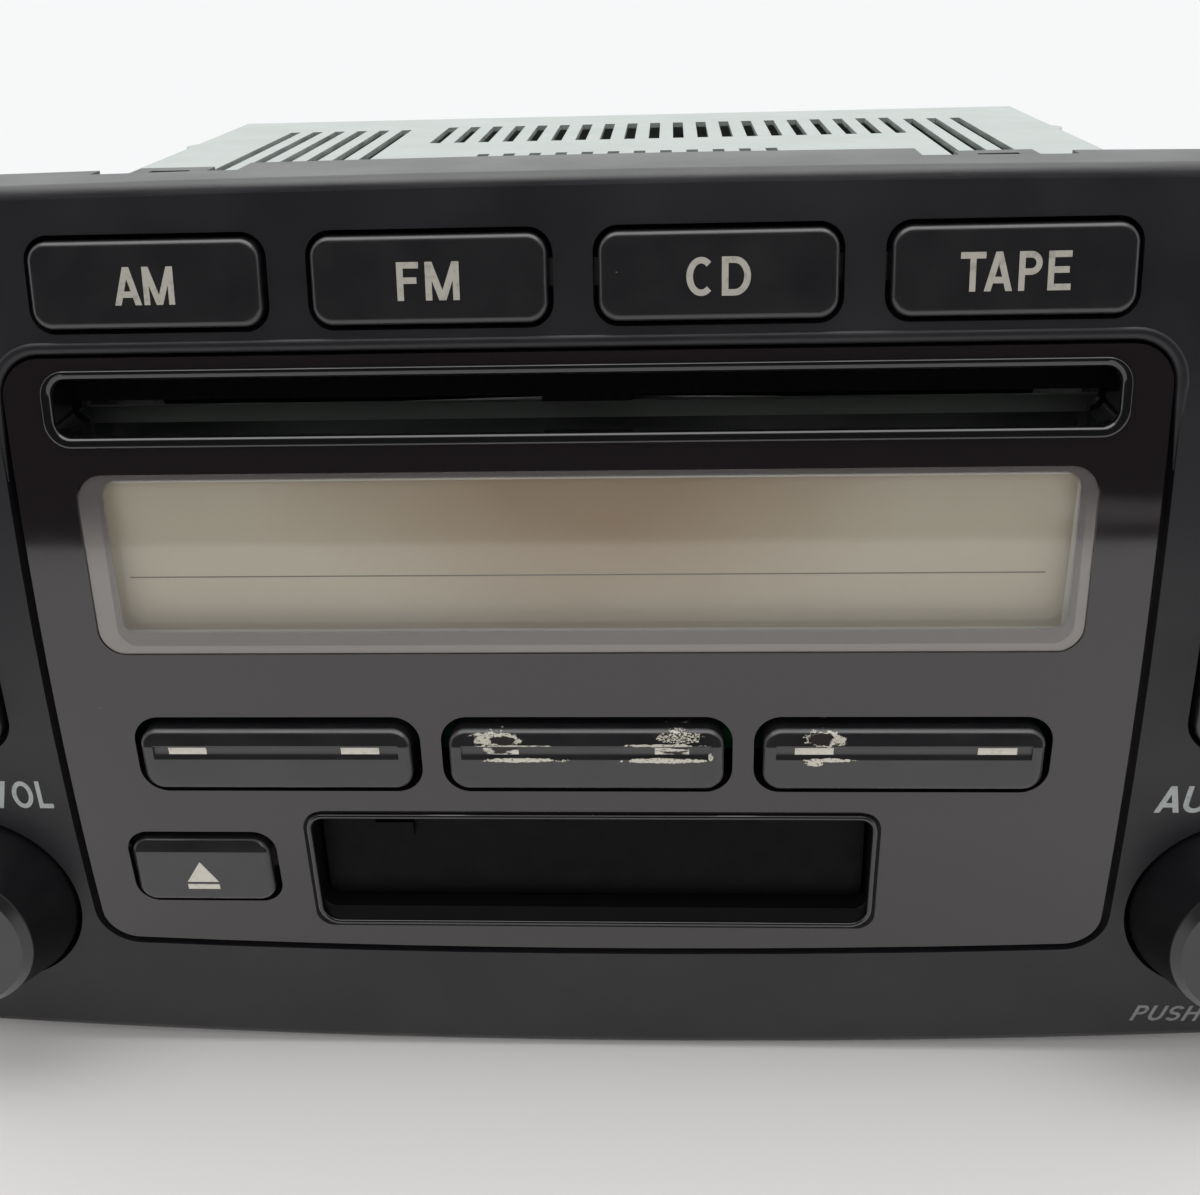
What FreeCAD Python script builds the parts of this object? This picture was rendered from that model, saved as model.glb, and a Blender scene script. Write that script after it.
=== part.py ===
import FreeCAD, Part
import os
import re
import Sketcher

# Car stereo for a double-height dashboard opening, in millimetres.
# +X is to the right as seen from the front, +Y to the back, +Z up, and Z = 0 is the surface it stands on.
# While a piece is drawn, Y = 0 is the top edge of the face. Each finished piece is then set forward so that
# the origin lies under the middle of the whole object.

SIZES = {
    # Face: curved from top to bottom, with bowed top and bottom edges
    "face_margin": 4.65,
    "face_top": 121.5,
    "top_rise": 0.5,
    "top_bow": 4600.0,
    "chin_height": 0.5,
    "chin_bow": 1217.0,
    "face_radius": 333.3,
    "bulge_height": 50.9,
    "face_corner": 6.0,
    "face_rim": 1.8,
    "bezel_wall": 2.4,
    "skirt_depth": 11.7,
    "lip_depth": 8.5,
    "lip_half": 57.8,
    "flange_half": 40.0,
    "flange_depth": 14.6,
    # Snap tabs on top of the bezel
    "tab_middle": 49.5,
    "tab_width": 9.2,
    "tab_depth": 15.7,
    "tab_drop": 0.2,
    "tab_wall": 2.0,
    "tab_hole_width": 4.8,
    "tab_hole_front": 9.4,
    # Centre panel and the groove round it
    "panel_side": 5.7,
    "ridge_margin": 2.2,
    "sill_margin": 5.2,
    "panel_bow": 1373.0,
    "panel_corner": 5.8,
    "panel_groove": 1.1,
    "panel_lap": 1.4,
    "panel_flange": 1.5,
    # Disc slot
    "slot_half": 61.8,
    "slot_margin": 3.7,
    "slot_height": 6.6,
    "slot_corner": 1.8,
    "slot_rim": 1.25,
    "slot_proud": 0.5,
    "slot_round": 0.8,
    "slot_depth": 0.8,
    "slot_post": 2.4,
    "slot_flange": 1.2,
    "shutter_lap": 1.2,
    "shutter_wall": 1.2,
    "shutter_gap": 0.2,
    "shutter_hang": 3.85,
    "shutter_height": 6.35,
    "tongue_half": 5.4,
    "tongue_offset": 1.0,
    "tongue_length": 0.8,
    # Display
    "lens_inset": 1.3,
    "lens_margin": 4.6,
    "lens_height": 23.15,
    "lens_corner": 3.3,
    "lens_wall": 1.8,
    "lens_rim": 1.9,
    "lens_play": 0.45,
    "glass_front": -3.4,
    "glass_wall": 2.2,
    "holder_wall": 1.5,
    # Source buttons, preset rockers, eject button and side rockers
    "button_width": 27.0,
    "button_height": 9.8,
    "button_drop": 10.7,
    "button_pitch": 32.7,
    "button_corner": 2.3,
    "button_gap": 0.6,
    "button_proud": 1.0,
    "key_rim": 0.8,
    "key_travel": 1.0,
    "key_stem": 4.0,
    "key_wall": 1.5,
    "stop_width": 1.6,
    "stop_wall": 1.2,
    "stop_gap": 0.3,
    "preset_width": 34.8,
    "preset_height": 8.8,
    "preset_margin": 9.85,
    "preset_pitch": 39.65,
    "preset_corner": 2.4,
    "preset_gap": 1.1,
    "preset_proud": 1.4,
    "ledge_lift": 1.1,
    "ledge_height": 2.0,
    "ledge_depth": 0.35,
    "crest_radius": 10.0,
    "crest_height": 2.4,
    "eject_width": 18.6,
    "eject_height": 10.0,
    "eject_sink": 3.2,
    "eject_margin": 4.1,
    "eject_gap": 0.8,
    "side_margin": 5.45,
    "side_width": 20.0,
    "side_height": 42.6,
    "side_drop": 47.8,
    "side_corner": 4.0,
    "side_gap": 0.7,
    "side_proud": 1.2,
    "hinge_depth": 1.2,
    "trunnion_radius": 1.0,
    "trunnion_length": 1.8,
    "running_gap": 0.05,
    "ear_wall": 2.0,
    # Cassette slot and its door
    "bay_half": 36.6,
    "bay_margin": 5.2,
    "bay_height": 15.1,
    "bay_corner": 1.7,
    "bay_side_rim": 1.15,
    "bay_top_rim": 0.7,
    "bay_sill": 2.9,
    "bay_proud": 0.4,
    "bay_bevel": 0.9,
    "bay_depth": 5.6,
    "door_gap": 0.4,
    "door_wall": 1.4,
    "door_barrel": 1.5,
    "door_setback": 5.2,
    "peg_width": 5.1,
    "peg_height": 2.1,
    "peg_offset": 26.3,
    "peg_depth": 0.9,
    # Knobs, shafts, plungers and encoders
    "knob_margin": 1.75,
    "knob_sink": 14.4,
    "knob_proud": 9.3,
    "knob_base_radius": 13.55,
    "knob_face_radius": 10.95,
    "knob_rim": 1.0,
    "knob_wall": 1.6,
    "knob_skirt": 2.6,
    "knob_gap": 0.75,
    "knob_travel": 1.0,
    "shaft_radius": 3.0,
    "plunger_wall": 0.5,
    "bushing_wall": 1.0,
    "encoder_width": 12.5,
    "encoder_depth": 5.0,
    "bushing_front": -3.4,
    # Front circuit board, switches and screws
    "board_front": 6.4,
    "board_wall": 1.6,
    "board_inset": 12.0,
    "board_low": 7.0,
    "board_drop": 5.5,
    "switch_width": 6.0,
    "switch_wall": 3.0,
    "post_radius": 2.5,
    "post_inset": 15.0,
    "post_drop": 18.0,
    "post_low": 10.5,
    "pillar_radius": 3.4,
    "pillar_inset": 7.4,
    "pillar_drop": 11.0,
    "pillar_low": 13.5,
    "screw_radius": 1.5,
    "screw_head": 2.9,
    "screw_head_wall": 1.8,
    "screw_length": 6.0,
    "screw_clear": 0.2,
    # Chassis
    "steel": 1.0,
    "frame_inset": 4.0,
    "frame_low": 6.0,
    "frame_drop": 4.5,
    "tray_inset": 15.0,
    "tray_low": 1.2,
    "chassis_drop": 12.2,
    "back_gap": 3.0,
    "wing_width": 10.0,
    "foot_radius": 4.5,
    "foot_middle": 75.0,
    "foot_inset": 18.0,
    "cover_drop": 12.0,
    "cover_screw_drop": 6.3,
    "cover_screw_back": 136.0,
    "cover_screw_front": 44.0,
    "vent_width": 2.2,
    "vent_pitch": 5.0,
    "left_vents": 6,
    "right_vents": 3,
    "back_vents": 20,
    "front_vents": 12,
    "long_vent_start": 90.0,
    "long_vent_length": 73.0,
    "left_vent_first": -73.5,
    "right_vent_first": 61.5,
    "back_vent_first": -38.5,
    "back_vent_start": 138.0,
    "back_vent_length": 28.0,
    "front_vent_first": -26.0,
    "front_vent_start": 95.0,
    "front_vent_length": 24.0,
    "side_hole_radius": 2.1,
    "side_hole_front": 44.0,
    "side_hole_run": 70.0,
    "side_hole_low": 27.0,
    "side_hole_rise": 56.0,
    "collar_wall": 1.2,
    "collar_length": 2.0,
    # Back of the chassis
    "sink_half": 35.0,
    "sink_margin": 4.0,
    "sink_low": 30.0,
    "sink_high": 98.0,
    "sink_base": 4.0,
    "sink_depth": 18.0,
    "fin_wall": 1.8,
    "fin_pitch": 6.2,
    "amplifier_width": 42.0,
    "amplifier_depth": 5.0,
    "amplifier_height": 24.0,
    "amplifier_lift": 3.4,
    "amplifier_legs": 9,
    "socket_margin": 11.0,
    "socket_width": 44.0,
    "socket_height": 17.0,
    "socket_depth": 20.0,
    "socket_wall": 1.5,
    "socket_reach": 6.0,
    "socket_columns": 8,
    "antenna_inset": 12.0,
    "antenna_lift": 6.4,
    "antenna_radius": 5.5,
    "antenna_bore": 2.0,
    "antenna_reach": 9.0,
    "antenna_wall": 1.6,
    "antenna_lip": 12.0,
    "stud_height": 50.0,
    "stud_radius": 3.0,
    "stud_neck": 2.2,
    "stud_length": 14.0,
    # Main circuit board and what stands on it
    "board_side": 3.0,
    "deck_gap": 0.4,
    "main_board_front": 22.0,
    "can_margin": 4.0,
    "shelf_depth": 8.0,
    "shelf_reach": 5.0,
    "shelf_start": 30.0,
    "shelf_pitch": 65.0,
    "tuner_width": 32.0,
    "tuner_side": 1.0,
    "tuner_length": 43.0,
    "tuner_inset": 13.0,
    "tuner_height": 9.0,
    "tuner_coils": 3,
    "can_radius": 8.0,
    "can_height": 26.0,
    "can_gap": 3.0,
    "can_first": -34.4,
    "can_pitch": 17.6,
    "can_count": 3,
    "link_left": 14.0,
    "link_width": 34.0,
    "link_height": 6.0,
    "link_back": 34.0,
    # Disc deck
    "disc_deck_depth": 20.9,
    "deck_margin": 5.2,
    "disc_deck_front": 24.0,
    "disc_deck_rear": 70.0,
    "disc_deck_rise": 9.1,
    "deck_wall": 1.2,
    "bracket_start": 42.0,
    "bracket_pitch": 66.0,
    "damper_height": 4.0,
    "damper_radius": 4.2,
    "disc_lift": 1.5,
    "disc_middle": 88.0,
    "roller_back": 29.5,
    "roller_radius": 4.0,
    "roller_inset": 1.8,
    "roller_waist": 1.2,
    "motor_radius": 13.0,
    "motor_drop": 10.9,
    "platter_radius": 14.0,
    "platter_drop": 1.9,
    "platter_wall": 1.8,
    "hub_radius": 7.4,
    "hub_height": 3.4,
    "spindle_radius": 1.25,
    "clamper_radius": 13.0,
    "clamper_rise": 3.7,
    "clamper_wall": 2.4,
    "clamper_neck": 6.0,
    "bridge_half": 14.0,
    "screw_line": -24.0,
    "rod_line": 16.0,
    "rod_drop": 13.4,
    "rod_radius": 1.5,
    "rod_front": 104.0,
    "rod_back": 156.0,
    "lead_radius": 2.2,
    "lead_pitch": 2.0,
    "sled_front": 104.4,
    "sled_length": 20.0,
    "sled_wall": 8.0,
    "eyepiece_radius": 3.5,
    "eyepiece_height": 3.0,
    # Tape deck
    "tape_deck_height": 20.0,
    "tape_deck_half": 44.0,
    "tape_deck_front": 18.0,
    "tape_deck_back": 154.0,
    "tape_wall_top": 46.0,
    "tape_wall_back": 122.0,
    "leg_radius": 3.0,
    "leg_inset": 5.0,
    "hub_middle": 71.0,
    "hub_pitch": 42.5,
    "hub_line": -3.0,
    "reel_hub_radius": 4.2,
    "reel_top": 31.0,
    "reel_flange_radius": 9.0,
    "reel_flange_wall": 1.8,
    "reel_shaft": 1.5,
    "reel_low": 15.0,
    "tooth_width": 1.0,
    "tooth_reach": 5.2,
    "reel_teeth": 3,
    "capstan_line": 24.0,
    "capstan_pitch": 64.0,
    "capstan_radius": 1.25,
    "capstan_top": 36.0,
    "capstan_low": 7.0,
    "bearing_radius": 4.0,
    "bearing_top": 24.0,
    "flywheel_radius": 17.0,
    "flywheel_low": 9.0,
    "flywheel_wall": 5.0,
    "tape_motor_line": -24.0,
    "tape_motor_back": 139.0,
    "tape_motor_radius": 13.0,
    "tape_motor_height": 20.0,
    "pulley_radius": 4.0,
    "head_rest": 34.0,
    "head_width": 12.0,
    "head_depth": 6.5,
    "head_low": 26.0,
    "head_high": 37.0,
    "head_plate_wall": 1.6,
}

# Sizes and places that follow from others
FOLLOWING = {
    "panel_half": "slot_half + slot_rim + panel_side",
    "ledge_radius": "(ledge_height * ledge_height / 4 + ledge_depth * ledge_depth) / (2 * ledge_depth)",
    "knob_middle": "panel_half + knob_margin + knob_gap + knob_base_radius",
    "side_middle": "panel_half + side_margin + side_gap + side_width / 2",
    "face_width": "2 * (knob_middle + knob_base_radius + face_margin)",
    "pillar_middle": "face_width / 2 - pillar_inset",
    "post_middle": "face_width / 2 - post_inset",
    "frame_half": "face_width / 2 - frame_inset",
    "board_half": "face_width / 2 - board_inset",
    "tray_half": "face_width / 2 - tray_inset",
    "shutter_half": "slot_half + shutter_lap",
    "lens_half": "slot_half - lens_inset",
    "glass_half": "lens_half - lens_rim",
    "glass_height": "lens_height - 2 * lens_rim + lens_play",
    "eject_middle": "bay_half + bay_side_rim + eject_margin + eject_gap + eject_width / 2",
    "panel_top_drop": "button_drop + button_height / 2 + ridge_margin",
    "slot_top_drop": "panel_top_drop + slot_margin",
    "shutter_drop": "slot_top_drop + shutter_hang",
    "lens_top_drop": "slot_top_drop + slot_height + lens_margin",
    "preset_drop": "lens_top_drop + lens_height + preset_margin + preset_height / 2",
    "bay_top_drop": "preset_drop + preset_height / 2 + bay_margin",
    "eject_drop": "bay_top_drop + eject_sink + eject_height / 2",
    "panel_bottom_drop": "bay_top_drop + bay_height + bay_sill + sill_margin",
    "knob_height": "face_top - bay_top_drop - knob_sink",
    "board_high": "face_top - board_drop",
    "post_high": "face_top - post_drop",
    "pillar_high": "face_top - pillar_drop",
    "frame_high": "face_top - frame_drop",
    "chassis_top": "face_top - chassis_drop",
    "disc_height": "face_top - slot_top_drop - slot_height + disc_lift",
    "disc_deck_height": "disc_height - disc_deck_depth",
    "disc_deck_top": "disc_height + disc_deck_rise",
    "disc_deck_half": "slot_half + deck_margin",
    "roller_half": "slot_half - roller_inset",
    "motor_top": "disc_height - motor_drop",
    "platter_top": "disc_height - platter_drop",
    "clamper_low": "disc_height + clamper_rise",
    "rod_height": "disc_height - rod_drop",
    "main_board_height": "disc_deck_height - deck_gap - steel - tuner_height - board_wall",
    "main_board_half": "tray_half - board_side",
    "sink_middle": "sink_half + sink_margin - tray_half",
    "antenna_middle": "tray_half - antenna_inset",
    "socket_middle": "antenna_middle - socket_margin - socket_width / 2",
    "antenna_height": "main_board_height + board_wall + antenna_lift",
    "disc_deck_back": "disc_middle + disc_deck_rear",
    "can_row": "disc_deck_back + can_gap + can_radius",
    "main_board_back": "can_row + can_radius + can_margin",
    "chassis_back": "main_board_back + back_gap",
    "tuner_back": "main_board_back - tuner_inset",
    "tuner_front": "tuner_back - tuner_length",
    "tuner_right": "main_board_half - tuner_side",
    "tuner_left": "tuner_right - tuner_width",
}

document = FreeCAD.newDocument("car_stereo")
sheet = document.addObject("Spreadsheet::Sheet", "Sizes")
for row, (word, value) in enumerate(SIZES.items(), start=1):
    sheet.set("A%d" % row, word)
    sheet.set("B%d" % row, repr(value))
    sheet.setAlias("B%d" % row, word)
document.recompute()


def bound(text):
    """Turn the words in a formula into references to the sheet's cells."""
    def reference(found):
        word = found.group()
        if word in FOLLOWING:
            return "(%s)" % bound(FOLLOWING[word])
        return "Sizes." + word if word in SIZES else word

    return re.sub(r"[a-z_]+", reference, text)


def number(text):
    """Work a formula out now, for a first position or a choice of edge."""
    return float(sheet.evalExpression(bound(text)))


# Places worked out from the sizes
FACE_CENTRE = "sqrt(face_radius ^ 2 - (face_top - bulge_height) ^ 2)"
AHEAD = "(-3 * knob_proud)"
BEHIND = "(2 * skirt_depth)"
KEY_REACH = "(board_front - switch_wall - key_travel - screw_clear)"


def face_at(height):
    """The face's Y at a height, as a formula."""
    return "(%s - sqrt(face_radius ^ 2 - (%s - bulge_height) ^ 2))" % (FACE_CENTRE, height)


KNOB_FRONT = "(%s - knob_proud)" % face_at("knob_height")
REAR = "(chassis_back + sink_depth)"
MIDDLE = "((%s + %s) / 2)" % (KNOB_FRONT, REAR)
BOARD_TOP = "(main_board_height + board_wall)"
ROLLER_SHAFT = "rod_radius"
ROLLER_HEIGHT = "(disc_height - stop_gap - roller_radius)"
SHELF_STARTS = ("shelf_start", "shelf_start + shelf_pitch", "shelf_start + 2 * shelf_pitch")
BRACKET_STARTS = ("bracket_start", "bracket_start + bracket_pitch")
VENT_ROWS = [
    ("left_vent_first", "long_vent_start", "long_vent_length", "left_vents"),
    ("right_vent_first", "long_vent_start", "long_vent_length", "right_vents"),
    ("back_vent_first", "back_vent_start", "back_vent_length", "back_vents"),
    ("front_vent_first", "front_vent_start", "front_vent_length", "front_vents"),
]
SPOTS = {}
TURNS = {
    "x": FreeCAD.Rotation(FreeCAD.Vector(0, 1, 0), 90),
    "y": FreeCAD.Rotation(FreeCAD.Vector(1, 0, 0), -90),
    "z": FreeCAD.Rotation(),
}


def tie(thing, **formulas):
    """Bind properties of an object to formulas of the sheet's sizes."""
    for name, text in formulas.items():
        thing.setExpression(name, bound(text))
    return thing


def put(thing, x, y, z):
    """Bind the place of an object to formulas."""
    SPOTS[thing.Name] = (x, y, z)
    for axis, text in zip("xyz", (x, y, z)):
        thing.setExpression("Placement.Base." + axis, bound(text))
    return thing


def block(name, x, y, z):
    """A box between two formulas along each axis."""
    box = document.addObject("Part::Box", name)
    spans = ["(%s) - (%s)" % (high, low) for low, high in (x, y, z)]
    tie(box, Length=spans[0], Width=spans[1], Height=spans[2])
    return put(box, x[0], y[0], z[0])


def drum(name, axis, start, length, radius):
    """A cylinder that starts at a point and runs along an axis."""
    cylinder = document.addObject("Part::Cylinder", name)
    cylinder.Placement = FreeCAD.Placement(FreeCAD.Vector(), TURNS[axis])
    tie(cylinder, Height=length, Radius=radius)
    return put(cylinder, *start)


def several(kind, name, things):
    group = document.addObject(kind, name)
    group.Shapes = list(things)
    return group


def fuse(name, *things):
    return several("Part::MultiFuse", name, things)


def common(name, *things):
    return several("Part::MultiCommon", name, things)


def gather(name, *things):
    """Separate solids kept together in one sub-part."""
    group = document.addObject("Part::Compound", name)
    group.Links = list(things)
    return group


def cut(name, base, *tools):
    result = document.addObject("Part::Cut", name)
    result.Base = base
    result.Tool = tools[0] if len(tools) == 1 else fuse(name + "_tools", *tools)
    return result


NEAR = 0.01  # millimetres within which two edges are taken as the same


def runs_along(axis):
    """Chooses the straight edges that run along an axis."""
    way = FreeCAD.Vector(*(float(axis == name) for name in "xyz"))

    def chosen(edge, shape):
        return type(edge.Curve) is Part.Line and abs(abs(edge.Curve.Direction * way) - 1) < 1e-6

    return chosen


def on_curved_face(edge, shape):
    """Chooses the edges round the face that follows the front's curve."""
    for face in shape.Faces:
        if type(face.Surface) is Part.Cylinder and face.Surface.Radius > number("face_radius / 2"):
            if abs(face.Surface.Axis.x) > 0.9 and any(edge.isSame(other) for other in face.Edges):
                return True
    return False


def soften(name, base, radius, chosen):
    """Round the chosen edges of a piece."""
    document.recompute()
    shape = base.Shape
    size = number(radius)
    fillet = document.addObject("Part::Fillet", name)
    fillet.Base = base
    edges = enumerate(shape.Edges, start=1)
    fillet.Edges = [(place, size, size) for place, edge in edges if chosen(edge, shape)]
    return fillet


def rounded(name, x, y, z, radius, axis="y"):
    """A box with its four edges along one axis rounded."""
    return soften(name, block(name + "_block", x, y, z), radius, runs_along(axis))


def face_drum(name, proud="0"):
    """The great cylinder that the face is part of, or one that stands proud of it."""
    start = ("-face_width", FACE_CENTRE, "bulge_height")
    return drum(name, "x", start, "2 * face_width", "face_radius + (%s)" % proud)


def seat(thing, label, x=None, y=None, z=None):
    """Name a finished sub-part and set it in the object's own frame."""
    spot = SPOTS.get(thing.Name, ("0", "0", "0")) if x is None else (x, y, z)
    thing.Label = label
    PARTS.append(thing)
    return put(thing, spot[0], "(%s) - %s" % (spot[1], MIDDLE), spot[2])


def new_body(name):
    return document.addObject("PartDesign::Body", name)


def sketch_on(body, plane, lift="0"):
    """A sketch on one of the body's own planes, lifted along its normal."""
    sketch = body.newObject("Sketcher::SketchObject", body.Name + "_sketch")
    support = next(thing for thing in body.Origin.OriginFeatures if thing.Role == plane + "_Plane")
    sketch.AttachmentSupport = [(support, "")]
    sketch.MapMode = "FlatFace"
    sketch.setExpression("AttachmentOffset.Base.z", bound(lift))
    return sketch


def hold(sketch, kind, geometry, point, text):
    """One measurement in a sketch, tied to a formula."""
    where = (-1, 1, geometry, point) if kind.startswith("Distance") else (geometry,)
    place = sketch.addConstraint(Sketcher.Constraint(kind, *where, number(text)))
    sketch.setExpression("Constraints[%d]" % place, bound(text))


def outline(sketch, points):
    """A closed outline of straight lines through points given as formulas."""
    first = sketch.GeometryCount
    corners = [FreeCAD.Vector(number(across), number(up), 0) for across, up in points]
    count = len(points)
    for place in range(count):
        sketch.addGeometry(Part.LineSegment(corners[place], corners[(place + 1) % count]), False)
    for place in range(count):
        ends = (first + place, 2, first + (place + 1) % count, 1)
        sketch.addConstraint(Sketcher.Constraint("Coincident", *ends))
    for place, (across, up) in enumerate(points):
        hold(sketch, "DistanceX", first + place, 1, across)
        hold(sketch, "DistanceY", first + place, 1, up)


def window(sketch, left, right, low, high):
    outline(sketch, [(left, low), (right, low), (right, high), (left, high)])


def ring(sketch, across, up, radius):
    """A circle in a sketch, at a place and a radius given as formulas."""
    middle = FreeCAD.Vector(number(across), number(up), 0)
    place = sketch.addGeometry(Part.Circle(middle, FreeCAD.Vector(0, 0, 1), number(radius)), False)
    hold(sketch, "DistanceX", place, 3, across)
    hold(sketch, "DistanceY", place, 3, up)
    hold(sketch, "Radius", place, 3, radius)


def pad(sketch, length, reverse=False):
    body = sketch.getParentGeoFeatureGroup()
    feature = body.newObject("PartDesign::Pad", body.Name + "_pad")
    feature.Profile = sketch
    feature.Reversed = reverse
    return tie(feature, Length=length)


def pocket(sketch, length):
    body = sketch.getParentGeoFeatureGroup()
    feature = body.newObject("PartDesign::Pocket", body.Name + "_pocket")
    feature.Profile = sketch
    return tie(feature, Length=length)


def row_of(body, feature, sketch, pitch, count):
    """Repeat a feature in a row along the sketch's first axis."""
    pattern = body.newObject("PartDesign::LinearPattern", body.Name + "_row")
    pattern.Originals = [feature]
    pattern.Direction = (sketch, ["H_Axis"])
    pattern.Mode = "Spacing"
    pattern.Occurrences = count
    tie(pattern, Offset=pitch)
    body.Tip = pattern
    return pattern


def turned(name, points, plane="XZ"):
    """A round piece, turned about the upright axis of its sketch."""
    body = new_body(name)
    sketch = sketch_on(body, plane)
    outline(sketch, points)
    feature = body.newObject("PartDesign::Revolution", name + "_turned")
    feature.Profile = sketch
    feature.ReferenceAxis = (sketch, ["V_Axis"])
    feature.Angle = 360
    return body


PARTS = []


def face_prism(name, inset, back):
    """The outline of the whole face drawn in by inset, from the curved face back to a plane."""
    half = "(face_width / 2 - (%s))" % inset
    z = ("-face_corner", "face_top + face_corner")
    slab = block(name + "_slab", ("-" + half, half), (AHEAD, back), z)
    length = "(%s) - %s + face_corner" % (back, AHEAD)
    top_start = ("0", AHEAD, "face_top + top_rise - top_bow")
    top = drum(name + "_top", "y", top_start, length, "top_bow - (%s)" % inset)
    chin_start = ("0", AHEAD, "chin_height + chin_bow")
    chin = drum(name + "_chin", "y", chin_start, length, "chin_bow - (%s)" % inset)
    front = face_drum(name + "_front", "-(%s)" % inset)
    prism = common(name + "_prism", slab, top, chin, front)
    return soften(name + "_corners", prism, "face_corner - (%s) / 2" % inset, runs_along("y"))


def panel_prism(name, inset, proud, back):
    """The outline of the centre panel's opening drawn in by inset, cut to the face's curve."""
    half = "(panel_half - (%s))" % inset
    top = "face_top - panel_top_drop - (%s)" % inset
    low = "face_top - panel_bottom_drop"
    slab = block(name + "_slab", ("-" + half, half), (AHEAD, back), (low, top))
    length = "(%s) - %s + face_corner" % (back, AHEAD)
    start = ("0", AHEAD, "%s + panel_bow" % low)
    bow = drum(name + "_bow", "y", start, length, "panel_bow - (%s)" % inset)
    prism = common(name + "_prism", slab, bow)
    corners = soften(name + "_corners", prism, "panel_corner - (%s)" % inset, runs_along("y"))
    return common(name, corners, face_drum(name + "_front", proud))


def face_window(name, middle, drop, width, height, radius, front=AHEAD, back=BEHIND):
    """A rounded hole or plug through the face, centred at a drop below the top edge."""
    x = ("(%s) - (%s) / 2" % (middle, width), "(%s) + (%s) / 2" % (middle, width))
    z = ("face_top - (%s) - (%s) / 2" % (drop, height), "face_top - (%s) + (%s) / 2" % (drop, height))
    return rounded(name, x, (front, back), z, radius)


# Keys of the front: where each stands, its size and its gap to the opening
BUTTON_SPOTS = {
    "am": "-1.5 * button_pitch",
    "fm": "-0.5 * button_pitch",
    "cd": "0.5 * button_pitch",
    "tape": "1.5 * button_pitch",
}
PRESET_SPOTS = {"left": "-preset_pitch", "centre": "0", "right": "preset_pitch"}
SIDE_SPOTS = {"left": "-side_middle", "right": "side_middle"}
KNOB_SPOTS = {"volume": "-knob_middle", "audio": "knob_middle"}


def button_hole(name, middle):
    size = ("button_width + 2 * button_gap", "button_height + 2 * button_gap")
    return face_window(name, middle, "button_drop", *size, "button_corner + button_gap")


def side_hole(name, middle):
    size = ("side_width + 2 * side_gap", "side_height + 2 * side_gap")
    return face_window(name, middle, "side_drop", *size, "side_corner + side_gap")


def knob_hole(name, middle):
    start = (middle, AHEAD, "knob_height")
    return drum(name, "y", start, "%s - %s" % (BEHIND, AHEAD), "knob_base_radius + knob_gap")


def screw_spots():
    """Where the screws sit: name, x, z, and the Y of the face that the head presses on."""
    spots = []
    for side, sign in (("left", "-"), ("right", "")):
        for level in ("low", "high"):
            spots.append((side + level, sign + "pillar_middle", "pillar_" + level, "skirt_depth + steel"))
            inner = (sign + "post_middle", "post_" + level, "board_front + board_wall")
            spots.append((side + level + "inner", *inner))
    return spots


def trunnion_ear(name, x, y, z, axis):
    """A small ear with a bore for a key's trunnion."""
    plate = block(name + "_plate", x, y, z)
    if axis == "z":
        middle = "((%s) + (%s)) / 2" % x
        start = (middle, "hinge_depth", z[0])
        length = "(%s) - (%s)" % (z[1], z[0])
    else:
        middle = "((%s) + (%s)) / 2" % z
        start = (x[0], "hinge_depth", middle)
        length = "(%s) - (%s)" % (x[1], x[0])
    bore = drum(name + "_bore", axis, start, length, "trunnion_radius + running_gap")
    return cut(name, plate, bore)


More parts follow.
